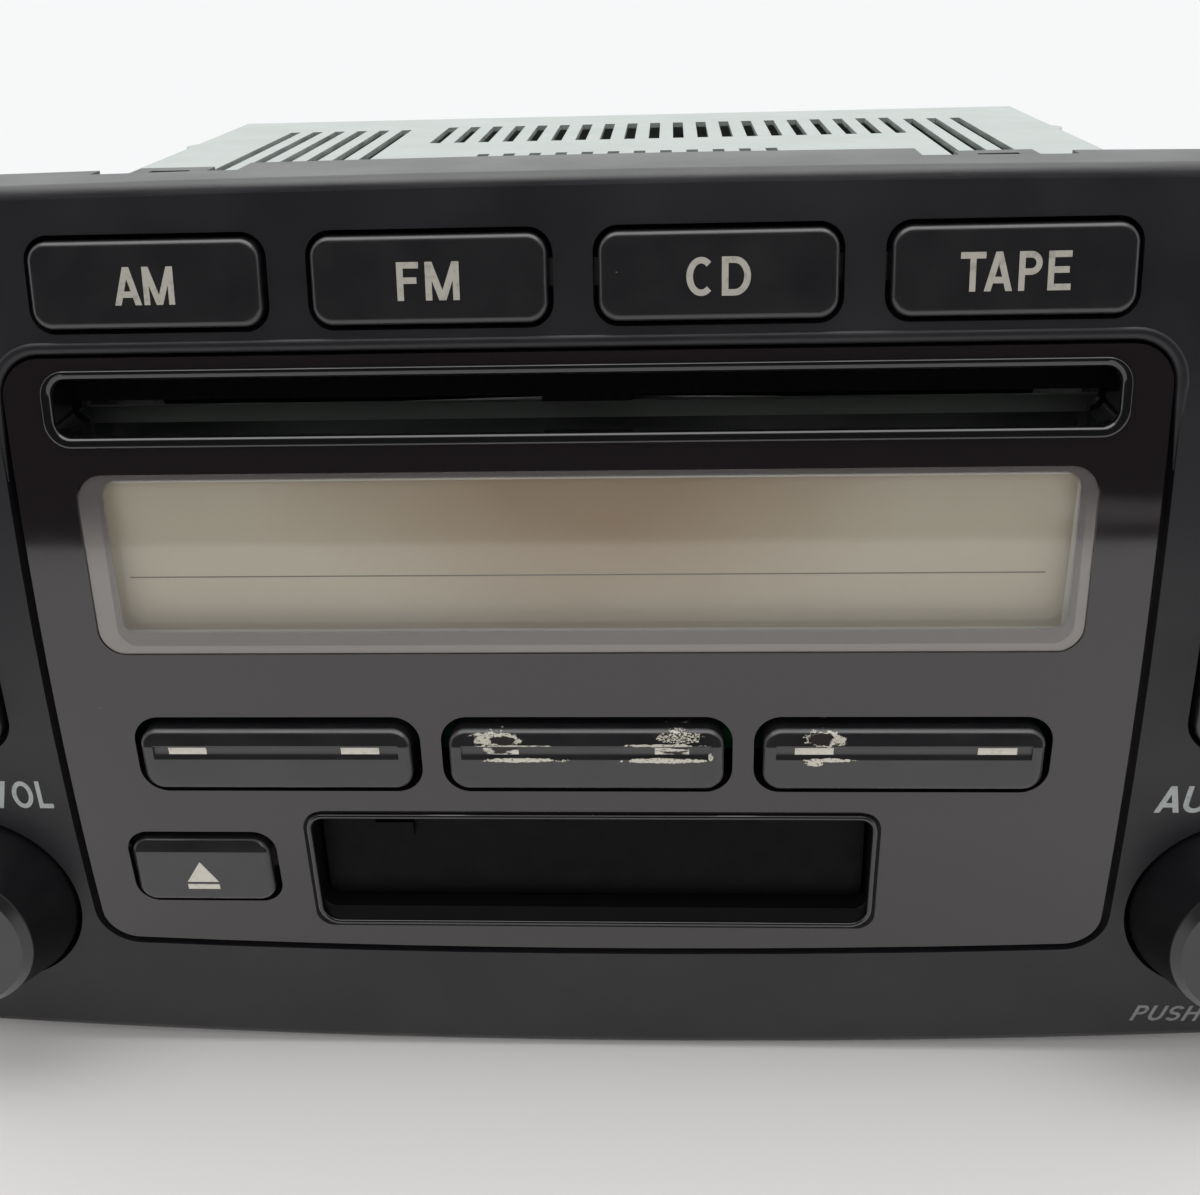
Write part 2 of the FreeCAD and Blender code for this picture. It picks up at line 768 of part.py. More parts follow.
def front_bezel():
    """Moulded bezel: one curved shell with its skirt, tabs, screw pillars and openings."""
    solid = face_prism("bezel_outer", "0", "flange_depth")
    outside = soften("bezel_outside", solid, "face_rim", on_curved_face)
    inside = face_prism("bezel_inner", "bezel_wall", BEHIND)
    reach = ("-face_width", "face_width")
    flange = ("-flange_half", "flange_half")
    behind = ("skirt_depth", BEHIND)
    upper = ("face_top - tab_middle", "2 * face_top")
    spare = [
        block("left_skirt_end", (reach[0], flange[0]), behind, ("-face_top", "2 * face_top")),
        block("right_skirt_end", (flange[1], reach[1]), behind, ("-face_top", "2 * face_top")),
        block("lower_skirt_end", flange, behind, ("-face_top", "face_top / 2")),
        block("left_lip_end", ("-lip_half", flange[0]), ("lip_depth", BEHIND), upper),
        block("right_lip_end", (flange[1], "lip_half"), ("lip_depth", BEHIND), upper),
    ]
    openings = [panel_prism("panel_hole", "0", "bezel_wall", BEHIND)]
    openings += [button_hole("button_hole_" + name, spot) for name, spot in BUTTON_SPOTS.items()]
    openings += [side_hole("side_hole_" + name, spot) for name, spot in SIDE_SPOTS.items()]
    openings += [knob_hole("knob_hole_" + name, spot) for name, spot in KNOB_SPOTS.items()]
    shell = cut("bezel_shell", outside, inside, *spare, *openings)
    additions = []
    tab_top = "face_top - tab_drop"
    for side, sign in (("left", "-"), ("right", "")):
        middle = sign + "tab_middle"
        span = (middle + " - tab_width / 2", middle + " + tab_width / 2")
        y = ("lip_depth - bezel_wall", "tab_depth")
        plate = block("tab_plate_" + side, span, y, (tab_top + " - tab_wall", tab_top))
        hole_x = (middle + " - tab_hole_width / 2", middle + " + tab_hole_width / 2")
        hole_y = ("tab_hole_front", "skirt_depth + steel + stop_gap")
        hole_z = (tab_top + " - 2 * tab_wall", tab_top + " + tab_wall")
        hole = block("tab_hole_" + side, hole_x, hole_y, hole_z)
        additions.append(cut("tab_" + side, plate, hole))
    for name, x, z, y in screw_spots():
        radius = "post_radius" if name.endswith("inner") else "pillar_radius"
        back = "board_front" if name.endswith("inner") else "skirt_depth"
        front = "%s + bezel_wall / 2" % face_at(z)
        post = drum("pillar_" + name, "y", (x, front, z), "%s - (%s)" % (back, front), radius)
        depth = "screw_length - (%s - %s)" % (y, back)
        hole = drum("pillar_hole_" + name, "y", (x, "%s - (%s)" % (back, depth), z), depth, "screw_radius")
        additions.append(cut("screw_pillar_" + name, post, hole))
    for side, middle in SIDE_SPOTS.items():
        for edge, sign in (("in", "-"), ("out", "+")):
            face = "%s %s (side_width / 2 + side_gap)" % (middle, sign)
            far = "%s %s ear_wall" % (face, sign)
            x = (far, face) if sign == "-" else (face, far)
            z = ("face_top - side_drop - ear_wall", "face_top - side_drop + ear_wall")
            y = ("%s + bezel_wall / 2" % face_at("(face_top - side_drop)"), "hinge_depth + ear_wall")
            additions.append(trunnion_ear("side_ear_%s_%s" % (side, edge), x, y, z, "x"))
    seat(fuse("bezel", shell, *additions), "front_bezel")


def centre_panel():
    """Centre panel: a curved plate with a flange that laps behind the bezel, and ears for the rockers."""
    plate = panel_prism("panel_plate", "panel_groove", "0", BEHIND)
    lap = panel_prism("panel_lap_outer", "-panel_lap", "-bezel_wall", BEHIND)
    lap_hole = panel_prism("panel_lap_inner", "2 * panel_groove", "0", BEHIND)
    back = face_drum("panel_plate_back", "-bezel_wall")
    lap_back = face_drum("panel_lap_back", "-bezel_wall - panel_flange")
    solids = [cut("panel_front", plate, back), cut("panel_flange_ring", lap, lap_hole, lap_back)]
    for name, middle in PRESET_SPOTS.items():
        for edge, sign in (("low", "-"), ("high", "+")):
            face = "face_top - preset_drop %s (preset_height / 2 + preset_gap)" % sign
            far = "%s %s ear_wall" % (face, sign)
            z = (far, face) if sign == "-" else (face, far)
            y = ("%s + bezel_wall / 2" % face_at("(face_top - preset_drop)"), "hinge_depth + ear_wall")
            x = (middle + " - ear_wall", middle + " + ear_wall")
            solids.append(trunnion_ear("preset_ear_%s_%s" % (name, edge), x, y, z, "z"))
    holes = [slot_plug("panel_slot_hole", "slot_rim", AHEAD, BEHIND)]
    holes.append(lens_plug("panel_lens_hole", AHEAD, BEHIND))
    for name, middle in PRESET_SPOTS.items():
        size = ("preset_width + 2 * preset_gap", "preset_height + 2 * preset_gap")
        corner = "preset_corner + preset_gap"
        holes.append(face_window("preset_hole_" + name, middle, "preset_drop", *size, corner))
    size = ("eject_width + 2 * eject_gap", "eject_height + 2 * eject_gap")
    corner = "button_corner + eject_gap"
    holes.append(face_window("eject_hole", "-eject_middle", "eject_drop", *size, corner))
    holes.append(bay_plug("panel_bay_hole", AHEAD, BEHIND))
    seat(cut("panel", fuse("panel_solid", *solids), *holes), "centre_panel")


def slot_plug(name, grow, front, back):
    """The disc slot's outline, grown by its rim."""
    size = ("2 * (slot_half + %s)" % grow, "slot_height + 2 * (%s)" % grow)
    corner = "slot_corner + %s" % grow
    return face_window(name, "0", "slot_top_drop + slot_height / 2", *size, corner, front, back)


def lens_plug(name, front, back):
    """The display window's outline."""
    size = ("2 * lens_half", "lens_height", "lens_corner")
    return face_window(name, "0", "lens_top_drop + lens_height / 2", *size, front, back)


def bay_plug(name, front, back):
    """The cassette slot's outside, with its deep sill."""
    half = "(bay_half + bay_side_rim)"
    z = ("face_top - bay_top_drop - bay_height - bay_sill", "face_top - bay_top_drop + bay_top_rim")
    return rounded(name, ("-" + half, half), (front, back), z, "bay_corner + bay_top_rim")


def round_opening(half, low, high):
    """Chooses the edges where an opening meets the front's curve."""
    reach, foot, head = number(half), number(low), number(high)

    def chosen(edge, shape):
        box = edge.BoundBox
        inside = box.XMax < reach + NEAR and box.ZMin > foot - NEAR and box.ZMax < head + NEAR
        return inside and box.XMin > -reach - NEAR and on_curved_face(edge, shape)

    return chosen


def disc_slot():
    """Disc slot: a proud rim with the tunnel behind it, and posts that guide the shutter."""
    outer = slot_plug("slot_outer", "slot_rim", AHEAD, "slot_depth")
    body = common("slot_body", outer, face_drum("slot_front", "slot_proud"))
    rim = soften("slot_rim_edge", body, "slot_proud / 2", on_curved_face)
    mouth = slot_plug("slot_mouth", "0", AHEAD, BEHIND)
    low = "face_top - slot_top_drop - slot_height"
    mouth_edges = round_opening("slot_half", low, "face_top - slot_top_drop")
    lip = soften("slot_lip", cut("slot_lip_open", rim, mouth), "slot_round", mouth_edges)
    high = "face_top - shutter_drop + shutter_height"
    half = "(shutter_half + slot_post)"
    back = "slot_depth + shutter_gap + shutter_wall + shutter_gap"
    z = (low + " - slot_rim", low + " + slot_height")
    flange = block("slot_flange", ("-" + half, half), ("slot_depth - slot_flange", "slot_depth"), z)
    pieces = [lip, flange]
    for side, sign in (("left", "-"), ("right", "")):
        inner = sign + "(shutter_half + shutter_gap)"
        outer = sign + half
        keeper = sign + "(shutter_half - slot_post)"
        span = (outer, inner) if sign else (inner, outer)
        stop = (outer, keeper) if sign else (keeper, outer)
        pieces.append(block("slot_post_" + side, span, ("slot_depth - slot_flange", back), z))
        pieces.append(block("slot_keeper_" + side, stop, (back, back + " + slot_flange"), z))
    seat(cut("slot_frame", fuse("slot_solid", *pieces), mouth), "cd_slot_frame")
    y = ("slot_depth + shutter_gap", "slot_depth + shutter_gap + shutter_wall")
    edge = "face_top - shutter_drop"
    band = block("shutter_band", ("-shutter_half", "shutter_half"), y, (edge, high))
    tongue_x = ("tongue_offset - tongue_half", "tongue_offset + tongue_half")
    tongue = block("shutter_tongue", tongue_x, y, (edge + " - tongue_length", edge + " + tongue_length"))
    seat(fuse("shutter", band, tongue), "cd_shutter")


def display():
    """Display window, liquid crystal glass, light guide and the holder that keeps them on the board."""
    plug = common("lens_plug", lens_plug("lens_outline", AHEAD, BEHIND), face_drum("lens_front"))
    lens = soften("lens_edge", plug, "key_rim / 2", on_curved_face)
    seat(cut("lens", lens, face_drum("lens_back", "-lens_wall")), "display_lens")
    middle = "(face_top - lens_top_drop - lens_height / 2)"
    glass_z = (middle + " - glass_height / 2", middle + " + glass_height / 2")
    glass_y = ("glass_front", "glass_front + glass_wall")
    glass_x = ("-glass_half", "glass_half")
    seat(block("lcd", glass_x, glass_y, glass_z), "lcd_panel")
    guide_x = ("-glass_half + holder_wall", "glass_half - holder_wall")
    guide_z = (glass_z[0] + " + holder_wall", glass_z[1] + " - holder_wall")
    guide_y = (glass_y[1], glass_y[1] + " + 2 * holder_wall")
    seat(block("guide", guide_x, guide_y, guide_z), "light_guide")
    holder_x = ("-glass_half - holder_wall", "glass_half + holder_wall")
    holder_z = (glass_z[0] + " - holder_wall", glass_z[1] + " + holder_wall")
    box = rounded("holder_box", holder_x, ("glass_front", "board_front"), holder_z, "lens_corner")
    seat_for_glass = block("holder_glass", glass_x, glass_y, glass_z)
    well = block("holder_well", guide_x, (glass_y[1], "board_front"), guide_z)
    seat(cut("holder", box, seat_for_glass, well), "display_holder")


def key_cap(name, width, height, corner, proud, drop):
    """A hollow moulded cap that follows the face, drawn at X = 0."""
    plug = face_window(name + "_plug", "0", drop, width, height, corner, AHEAD, KEY_REACH)
    solid = common(name + "_solid", plug, face_drum(name + "_front", proud))
    edged = soften(name + "_edged", solid, "key_rim", on_curved_face)
    wall = "key_wall"
    x = ("%s - %s / 2" % (wall, width), "%s / 2 - %s" % (width, wall))
    z_low = "face_top - %s - %s / 2 + %s" % (drop, height, wall)
    z_high = "face_top - %s + %s / 2 - %s" % (drop, height, wall)
    front = "%s + %s" % (face_at("(face_top - %s - %s / 2)" % (drop, height)), wall)
    upper = "%s + %s" % (face_at("(" + z_high + ")"), wall)
    hollow_y = ("max(%s; %s)" % (front, upper), BEHIND)
    hollow = block(name + "_hollow", x, hollow_y, (z_low, z_high))
    return cut(name + "_cap", edged, hollow)


def crest(name, start, proud):
    """What is rolled back from the top of a key's front, from a height upward."""
    centre = "%s - (%s) + crest_radius" % (face_at("(%s)" % start), proud)
    reach = ("-face_width", "face_width")
    corner = block(name + "_block", reach, (AHEAD, centre), (start, "(%s) + crest_radius" % start))
    roll = drum(name + "_roll", "x", (reach[0], centre, start), "2 * face_width", "crest_radius")
    return cut(name, corner, roll)


def push_key(name, label, spot, width, height, drop, gap, rolled=None):
    """A key that is pushed straight in, with side stops behind its opening and a stem to its switch."""
    cap = key_cap(name, width, height, "button_corner", "button_proud", drop)
    z = ("face_top - %s - stop_width" % drop, "face_top - %s + stop_width" % drop)
    front = "%s + bezel_wall + stop_gap" % face_at("(face_top - %s + stop_width)" % drop)
    y = (front, front + " + stop_wall")
    reach = "(%s / 2 + %s + stop_width)" % (width, gap)
    inner = "(%s / 2 - key_wall)" % width
    stops = [
        block(name + "_stop_left", ("-" + reach, "-" + inner), y, z),
        block(name + "_stop_right", (inner, reach), y, z),
    ]
    stem_y = (face_at("(face_top - %s)" % drop), KEY_REACH)
    stem = block(name + "_stem", ("-key_stem / 2", "key_stem / 2"), stem_y, z)
    key = fuse(name, cap, stem, *stops)
    if rolled:
        start = "face_top - %s + %s / 2 - %s" % (drop, height, rolled)
        key = cut(name + "_rolled", key, crest(name + "_crest", start, "button_proud"))
    seat(key, label, spot, "0", "0")


def leg_span(middle, sign, length):
    """The width of a rocker's leg, a third of the rocker's length from its middle."""
    place = "%s %s %s / 3" % (middle, sign, length)
    return (place + " - key_stem / 2", place + " + key_stem / 2")


def rocker(name, width, height, corner, proud, drop, gap, axis):
    """A key that rocks on two trunnions, with a leg to a switch at each end."""
    cap = key_cap(name, width, height, corner, proud, drop)
    level = "(face_top - %s)" % drop
    deep = ("%s + key_wall / 2" % face_at(level), "hinge_depth + trunnion_radius + running_gap")
    wide = ("-ear_wall", "ear_wall")
    tall = (level + " - ear_wall", level + " + ear_wall")
    if axis == "z":
        web_z = ("%s - %s / 2" % (level, height), "%s + %s / 2" % (level, height))
        web = block(name + "_web", wide, deep, web_z)
        start = ("0", "hinge_depth", "%s - %s / 2 - %s - trunnion_length" % (level, height, gap))
        length = "%s + 2 * (%s + trunnion_length)" % (height, gap)
        legs = [(leg_span("0", sign, width), tall) for sign in ("-", "+")]
    else:
        web = block(name + "_web", ("-%s / 2" % width, "%s / 2" % width), deep, tall)
        start = ("-%s / 2 - %s - trunnion_length" % (width, gap), "hinge_depth", level)
        length = "%s + 2 * (%s + trunnion_length)" % (width, gap)
        legs = [(wide, leg_span(level, sign, height)) for sign in ("-", "+")]
    trunnion = drum(name + "_trunnion", axis, start, length, "trunnion_radius")
    pieces = [cap, web, trunnion]
    for end, (x, z) in zip(("first", "second"), legs):
        pieces.append(block("%s_leg_%s" % (name, end), x, (deep[0], KEY_REACH), z))
    return fuse(name, *pieces)


def keys():
    """All keys of the front."""
    for name, spot in BUTTON_SPOTS.items():
        size = ("button_width", "button_height", "button_drop", "button_gap")
        push_key("button_" + name, "button_" + name, spot, *size)
    size = ("eject_width", "eject_height", "eject_drop", "eject_gap")
    push_key("eject", "eject_button", "-eject_middle", *size, "crest_height")
    for name, spot in PRESET_SPOTS.items():
        size = ("preset_width", "preset_height", "preset_corner", "preset_proud", "preset_drop", "preset_gap")
        body = rocker("preset_" + name, *size, "z")
        middle = "(face_top - preset_drop + ledge_lift)"
        groove_y = "%s - preset_proud + ledge_depth - ledge_radius" % face_at(middle)
        groove_start = ("2 * key_rim - preset_width / 2", groove_y, middle)
        groove_length = "preset_width - 4 * key_rim"
        groove = drum("preset_groove_" + name, "x", groove_start, groove_length, "ledge_radius")
        roll = crest("preset_crest_" + name, middle + " + ledge_height / 2", "preset_proud")
        seat(cut("preset_rocker_" + name, body, groove, roll), "preset_rocker_" + name, spot, "0", "0")
    for name, spot in SIDE_SPOTS.items():
        size = ("side_width", "side_height", "side_corner", "side_proud", "side_drop", "side_gap")
        seat(rocker("side_" + name, *size, "x"), "side_rocker_" + name, spot, "0", "0")


def knobs():
    """Each corner knob on its shaft, in a plunger that slides in an encoder's bushing."""
    base = face_at("knob_height")
    plunger_front = "(bushing_front - knob_travel - stop_gap - plunger_wall)"
    boss_end = "(%s - running_gap)" % plunger_front
    roof = "(%s + 2 * knob_wall)" % KNOB_FRONT
    shaft_end = "(board_front - knob_travel - stop_gap)"
    sleeve = "(shaft_radius + running_gap + plunger_wall)"
    bore = "(%s + running_gap)" % sleeve
    for name, spot in KNOB_SPOTS.items():
        knob = turned(name + "_knob", [
            ("0", KNOB_FRONT),
            ("knob_face_radius - knob_rim", KNOB_FRONT),
            ("knob_face_radius", KNOB_FRONT + " + knob_rim"),
            ("knob_base_radius", base),
            ("knob_base_radius", base + " + knob_skirt"),
            ("knob_base_radius - knob_wall", base + " + knob_skirt"),
            ("knob_face_radius - knob_wall", roof),
            ("shaft_radius + knob_wall", roof),
            ("shaft_radius + knob_wall", boss_end),
            ("shaft_radius", boss_end),
            ("shaft_radius", roof),
            ("0", roof),
        ], "XY")
        seat(knob, name + "_knob", spot, "0", "knob_height")
        shaft = turned(name + "_shaft", [
            ("0", roof),
            ("shaft_radius", roof),
            ("shaft_radius", shaft_end),
            ("0", shaft_end),
        ], "XY")
        seat(shaft, name + "_shaft", spot, "0", "knob_height")
        flange = sleeve + " + plunger_wall"
        plunger = turned(name + "_plunger", [
            ("shaft_radius + running_gap", plunger_front),
            (flange, plunger_front),
            (flange, plunger_front + " + plunger_wall"),
            (sleeve, plunger_front + " + plunger_wall"),
            (sleeve, shaft_end),
            ("shaft_radius + running_gap", shaft_end),
        ], "XY")
        seat(plunger, name + "_plunger", spot, "0", "knob_height")
        half = "encoder_width / 2"
        front = "board_front - encoder_depth"
        body = block(name + "_encoder_body", ("-" + half, half), (front, "board_front"), ("-" + half, half))
        start = ("0", "bushing_front", "0")
        length = front + " - bushing_front"
        bushing = drum(name + "_bushing", "y", start, length, bore + " + bushing_wall")
        hole = drum(name + "_encoder_bore", "y", ("0", AHEAD, "0"), "%s - %s" % (BEHIND, AHEAD), bore)
        encoder = cut(name + "_encoder", fuse(name + "_encoder_solid", body, bushing), hole)
        seat(encoder, name + "_encoder", spot, "0", "knob_height")


def cassette_slot():
    """Cassette slot: a bevelled frame with a deep sill, and a flap that swings in on its own trunnions."""
    plug = bay_plug("bay_outer", AHEAD, "bay_depth")
    body = common("bay_body", plug, face_drum("bay_front", "bay_proud"))
    edged = soften("bay_edged", body, "bay_proud / 2", on_curved_face)
    x = ("-bay_half", "bay_half")
    low = "(face_top - bay_top_drop - bay_height)"
    high = "(face_top - bay_top_drop)"
    mouth = rounded("bay_mouth", x, (AHEAD, BEHIND), (low, high), "bay_corner")
    pivot_y = "(%s + door_setback)" % face_at(high)
    pivot_z = "(%s - door_gap - door_barrel)" % high
    reach = "(bay_half + trunnion_length / 2)"
    start = ("-" + reach, pivot_y, pivot_z)
    bore = drum("bay_pivot", "x", start, "2 * " + reach, "trunnion_radius + running_gap")
    sill = new_body("bay_sill_bevel")
    side = sketch_on(sill, "YZ", "-bay_half")
    front = "%s - bay_proud" % face_at(low)
    foot = low + " - bay_sill + bay_proud"
    crown = low + " + bay_corner"
    inner = front + " + bay_bevel"
    outline(side, [(AHEAD, foot), (front, foot), (inner, low), (inner, crown), (AHEAD, crown)])
    pad(side, "2 * bay_half")
    seat(cut("bay_frame", edged, mouth, bore, sill), "cassette_slot_frame")
    half = "(bay_half - bay_corner)"
    barrel = drum("door_barrel", "x", ("-" + half, pivot_y, pivot_z), "2 * " + half, "door_barrel")
    pin = "(%s - running_gap)" % reach
    trunnion = drum("door_trunnion", "x", ("-" + pin, pivot_y, pivot_z), "2 * " + pin, "trunnion_radius")
    plate_y = (pivot_y + " - door_barrel", pivot_y + " - door_barrel + door_wall")
    plate_x = ("door_gap - bay_half", "bay_half - door_gap")
    plate_z = (low + " + door_gap", pivot_z)
    plate = rounded("door_plate", plate_x, plate_y, plate_z, "bay_corner - door_gap")
    peg_x = ("-peg_offset - peg_width / 2", "peg_width / 2 - peg_offset")
    peg_z = (pivot_z + " - door_barrel / 2 - peg_height", pivot_z + " - door_barrel / 2")
    peg = block("door_peg", peg_x, (plate_y[0] + " - peg_depth", plate_y[1]), peg_z)
    seat(fuse("door", barrel, trunnion, plate, peg), "cassette_door")


def front_board():
    """Front circuit board with cut-outs for the disc and the cassette, its switches and all the screws."""
    body = new_body("front_board")
    sheet_of_board = sketch_on(body, "XZ", "-board_front - board_wall")
    window(sheet_of_board, "-board_half", "board_half", "board_low", "board_high")
    pad(sheet_of_board, "board_wall")
    holes = sketch_on(body, "XZ", "-board_front")
    room = "2 * stop_width"
    slot_half = "(shutter_half + slot_post + stop_width)"
    slot_low = "face_top - slot_top_drop - slot_height - slot_rim - %s" % room
    window(holes, "-" + slot_half, slot_half, slot_low, "face_top - slot_top_drop + slot_rim + " + room)
    bay_half = "(bay_half + bay_side_rim + stop_width)"
    bay_low = "face_top - bay_top_drop - bay_height - bay_sill - stop_width"
    window(holes, "-" + bay_half, bay_half, bay_low, "face_top - bay_top_drop + bay_top_rim + stop_width")
    for name, x, z, y in screw_spots():
        if name.endswith("inner"):
            ring(holes, x, z, "screw_radius + screw_clear")
    pocket(holes, "2 * board_wall")
    seat(body, "front_circuit_board")
    spots = [(spot, "face_top - button_drop") for spot in BUTTON_SPOTS.values()]
    spots.append(("-eject_middle", "face_top - eject_drop"))
    for spot in PRESET_SPOTS.values():
        spots += [("%s %s preset_width / 3" % (spot, sign), "face_top - preset_drop") for sign in "-+"]
    for spot in SIDE_SPOTS.values():
        spots += [(spot, "face_top - side_drop %s side_height / 3" % sign) for sign in "-+"]
    switches = []
    half = "switch_width / 2"
    for place, (x, z) in enumerate(spots):
        span_x = ("%s - %s" % (x, half), "%s + %s" % (x, half))
        span_z = ("%s - %s" % (z, half), "%s + %s" % (z, half))
        span_y = ("board_front - switch_wall", "board_front")
        switches.append(block("switch_%d" % place, span_x, span_y, span_z))
    seat(gather("switches", *switches), "key_switches")


def screw(name, axis, x, y, z, outward):
    """A pan-headed screw whose head presses on a face; outward is the sign of the way its head stands out."""
    ways = {"+": ("", "-screw_length"), "-": ("-screw_head_wall", "")}
    head_shift, shank_shift = ways[outward]
    place = {"x": x, "y": y, "z": z}
    head_at = dict(place)
    shank_at = dict(place)
    head_at[axis] = "%s + (%s)" % (place[axis], head_shift or "0")
    shank_at[axis] = "%s + (%s)" % (place[axis], shank_shift or "0")
    head = drum(name + "_head", axis, tuple(head_at.values()), "screw_head_wall", "screw_head")
    shank = drum(name + "_shank", axis, tuple(shank_at.values()), "screw_length", "screw_radius")
    return fuse(name, head, shank)


def screws():
    """All the case screws, which are alike."""
    group = [screw("screw_" + name, "y", x, y, z, "+") for name, x, z, y in screw_spots()]
    for side, sign in (("left", "-"), ("right", "+")):
        for place in ("front", "back"):
            spot = (sign + "(tray_half + steel)", "cover_screw_" + place, "chassis_top - cover_screw_drop")
            group.append(screw("cover_screw_%s_%s" % (side, place), "x", *spot, sign))
    seat(gather("screws", *group), "case_screws")


def chassis():
    """Sheet-steel chassis: front frame, tray, slotted cover and rear panel."""
    frame = new_body("frame")
    plate = sketch_on(frame, "XZ", "-skirt_depth - steel")
    window(plate, "-frame_half", "frame_half", "frame_low", "frame_high")
    pad(plate, "steel")
    for sign in ("-", ""):
        middle = sign + "tab_middle"
        span = (middle + " - tab_hole_width / 2 + stop_gap", middle + " + tab_hole_width / 2 - stop_gap")
        tongue = sketch_on(frame, "XY", "frame_high - steel")
        window(tongue, *span, "skirt_depth", "skirt_depth + steel")
        pad(tongue, "face_top - tab_drop - tab_wall / 4 - frame_high + steel")
    holes = sketch_on(frame, "XZ", "-skirt_depth")
    slot_half = "(slot_half + slot_rim + stop_width)"
    slot_low = "face_top - slot_top_drop - slot_height - slot_rim"
    window(holes, "-" + slot_half, slot_half, slot_low, "face_top - slot_top_drop + slot_rim")
    bay_half = "(bay_half + bay_side_rim + stop_width)"
    bay_low = "face_top - bay_top_drop - bay_height - bay_sill"
    window(holes, "-" + bay_half, bay_half, bay_low, "face_top - bay_top_drop + bay_top_rim")
    link_x = ("link_left - stop_gap", "link_left + link_width + stop_gap")
    link_z = (BOARD_TOP + " - stop_gap", BOARD_TOP + " + link_height + stop_gap")
    window(holes, *link_x, *link_z)
    for name, x, z, y in screw_spots():
        radius = "screw_head + steel / 2" if name.endswith("inner") else "screw_radius + screw_clear"
        ring(holes, x, z, radius)
    pocket(holes, "2 * steel")
    seat(frame, "front_frame")

    tray = new_body("tray")
    front = "skirt_depth + steel"
    floor = sketch_on(tray, "XY", "tray_low")
    window(floor, "-tray_half", "tray_half", front, "chassis_back")
    pad(floor, "steel")
    walls = sketch_on(tray, "XY", "tray_low")
    window(walls, "-tray_half", "steel - tray_half", front, "chassis_back")
    window(walls, "tray_half - steel", "tray_half", front, "chassis_back")
    pad(walls, "chassis_top - steel - tray_low")
    wings = sketch_on(tray, "XZ", "-(%s) - steel" % front)
    for sign in ("-", ""):
        edges = [sign + "(tray_half - steel)", sign + "(tray_half + wing_width)"]
        wing_z = ("pillar_low + screw_head + wing_width / 2", "pillar_high - screw_head - wing_width / 2")
        window(wings, *(reversed(edges) if sign else edges), *wing_z)
    pad(wings, "steel")
    shelves = sketch_on(tray, "XY", "main_board_height - steel")
    for start in SHELF_STARTS:
        shelf(shelves, start, "shelf_reach")
    pad(shelves, "steel")
    brackets = sketch_on(tray, "XY", "disc_deck_height - damper_height - steel")
    for start in BRACKET_STARTS:
        shelf(brackets, start, "tray_half - steel - disc_deck_half - stop_width")
    pad(brackets, "steel")
    feet = sketch_on(tray, "XY")
    for sign in ("-", ""):
        for back in (front + " + foot_inset", "chassis_back - foot_inset"):
            ring(feet, sign + "foot_middle", back, "foot_radius")
    pad(feet, "tray_low")
    for lift in ("tray_half - steel - collar_length", "steel - tray_half"):
        collars = sketch_on(tray, "YZ", lift)
        for y, z in side_hole_spots():
            ring(collars, y, z, "side_hole_radius + collar_wall")
        pad(collars, "collar_length")
    threads = sketch_on(tray, "YZ", "tray_half + steel")
    for y, z in side_hole_spots():
        ring(threads, y, z, "side_hole_radius")
    for back in ("cover_screw_front", "cover_screw_back"):
        ring(threads, back, "chassis_top - cover_screw_drop", "screw_radius")
    pocket(threads, "2 * tray_half + 2 * steel")
    seat(tray, "chassis_tray")

    cover = new_body("cover")
    top = sketch_on(cover, "XY", "chassis_top - steel")
    window(top, "-tray_half - steel", "tray_half + steel", front + " + steel", "chassis_back")
    pad(top, "steel")
    sides = sketch_on(cover, "XY", "chassis_top - steel")
    window(sides, "-tray_half - steel", "-tray_half", front + " + 2 * steel", "chassis_back - steel")
    window(sides, "tray_half", "tray_half + steel", front + " + 2 * steel", "chassis_back - steel")
    pad(sides, "cover_drop - steel", reverse=True)
    screw_holes = sketch_on(cover, "YZ", "tray_half + 2 * steel")
    for back in ("cover_screw_front", "cover_screw_back"):
        ring(screw_holes, back, "chassis_top - cover_screw_drop", "screw_radius")
    pocket(screw_holes, "2 * tray_half + 4 * steel")
    for first, start, length, count in VENT_ROWS:
        vents = sketch_on(cover, "XY", "chassis_top")
        window(vents, first, first + " + vent_width", start, "%s + %s" % (start, length))
        row_of(cover, pocket(vents, "2 * steel"), vents, "vent_pitch", SIZES[count])
    seat(cover, "top_cover")

    rear = new_body("rear")
    back = sketch_on(rear, "XZ", "-chassis_back")
    window(back, "steel - tray_half", "tray_half - steel", "tray_low + steel", "chassis_top - steel")
    pad(back, "steel")
    holes = sketch_on(rear, "XZ", "steel - chassis_back")
    for middle, width, top in (
        ("socket_middle", "socket_width", "socket_height"),
        ("sink_middle", "amplifier_width", "amplifier_lift + amplifier_height"),
    ):
        span = ("%s - %s / 2" % (middle, width), "%s + %s / 2" % (middle, width))
        window(holes, *span, BOARD_TOP, BOARD_TOP + " + " + top)
    ring(holes, "antenna_middle", "antenna_height", "antenna_radius")
    ring(holes, "0", "stud_height", "stud_neck")
    pocket(holes, "2 * steel")
    seat(rear, "rear_panel")


def shelf(sketch, start, reach):
    """A pair of lugs bent in from the tray's two sides."""
    inner = "(tray_half - steel - (%s))" % reach
    window(sketch, "steel - tray_half", "-" + inner, start, "%s + shelf_depth" % start)
    window(sketch, inner, "tray_half - steel", start, "%s + shelf_depth" % start)


def side_hole_spots():
    rows = ("side_hole_low", "side_hole_low + side_hole_rise")
    columns = ("side_hole_front", "side_hole_front + side_hole_run")
    return [(y, z) for y in columns for z in rows]


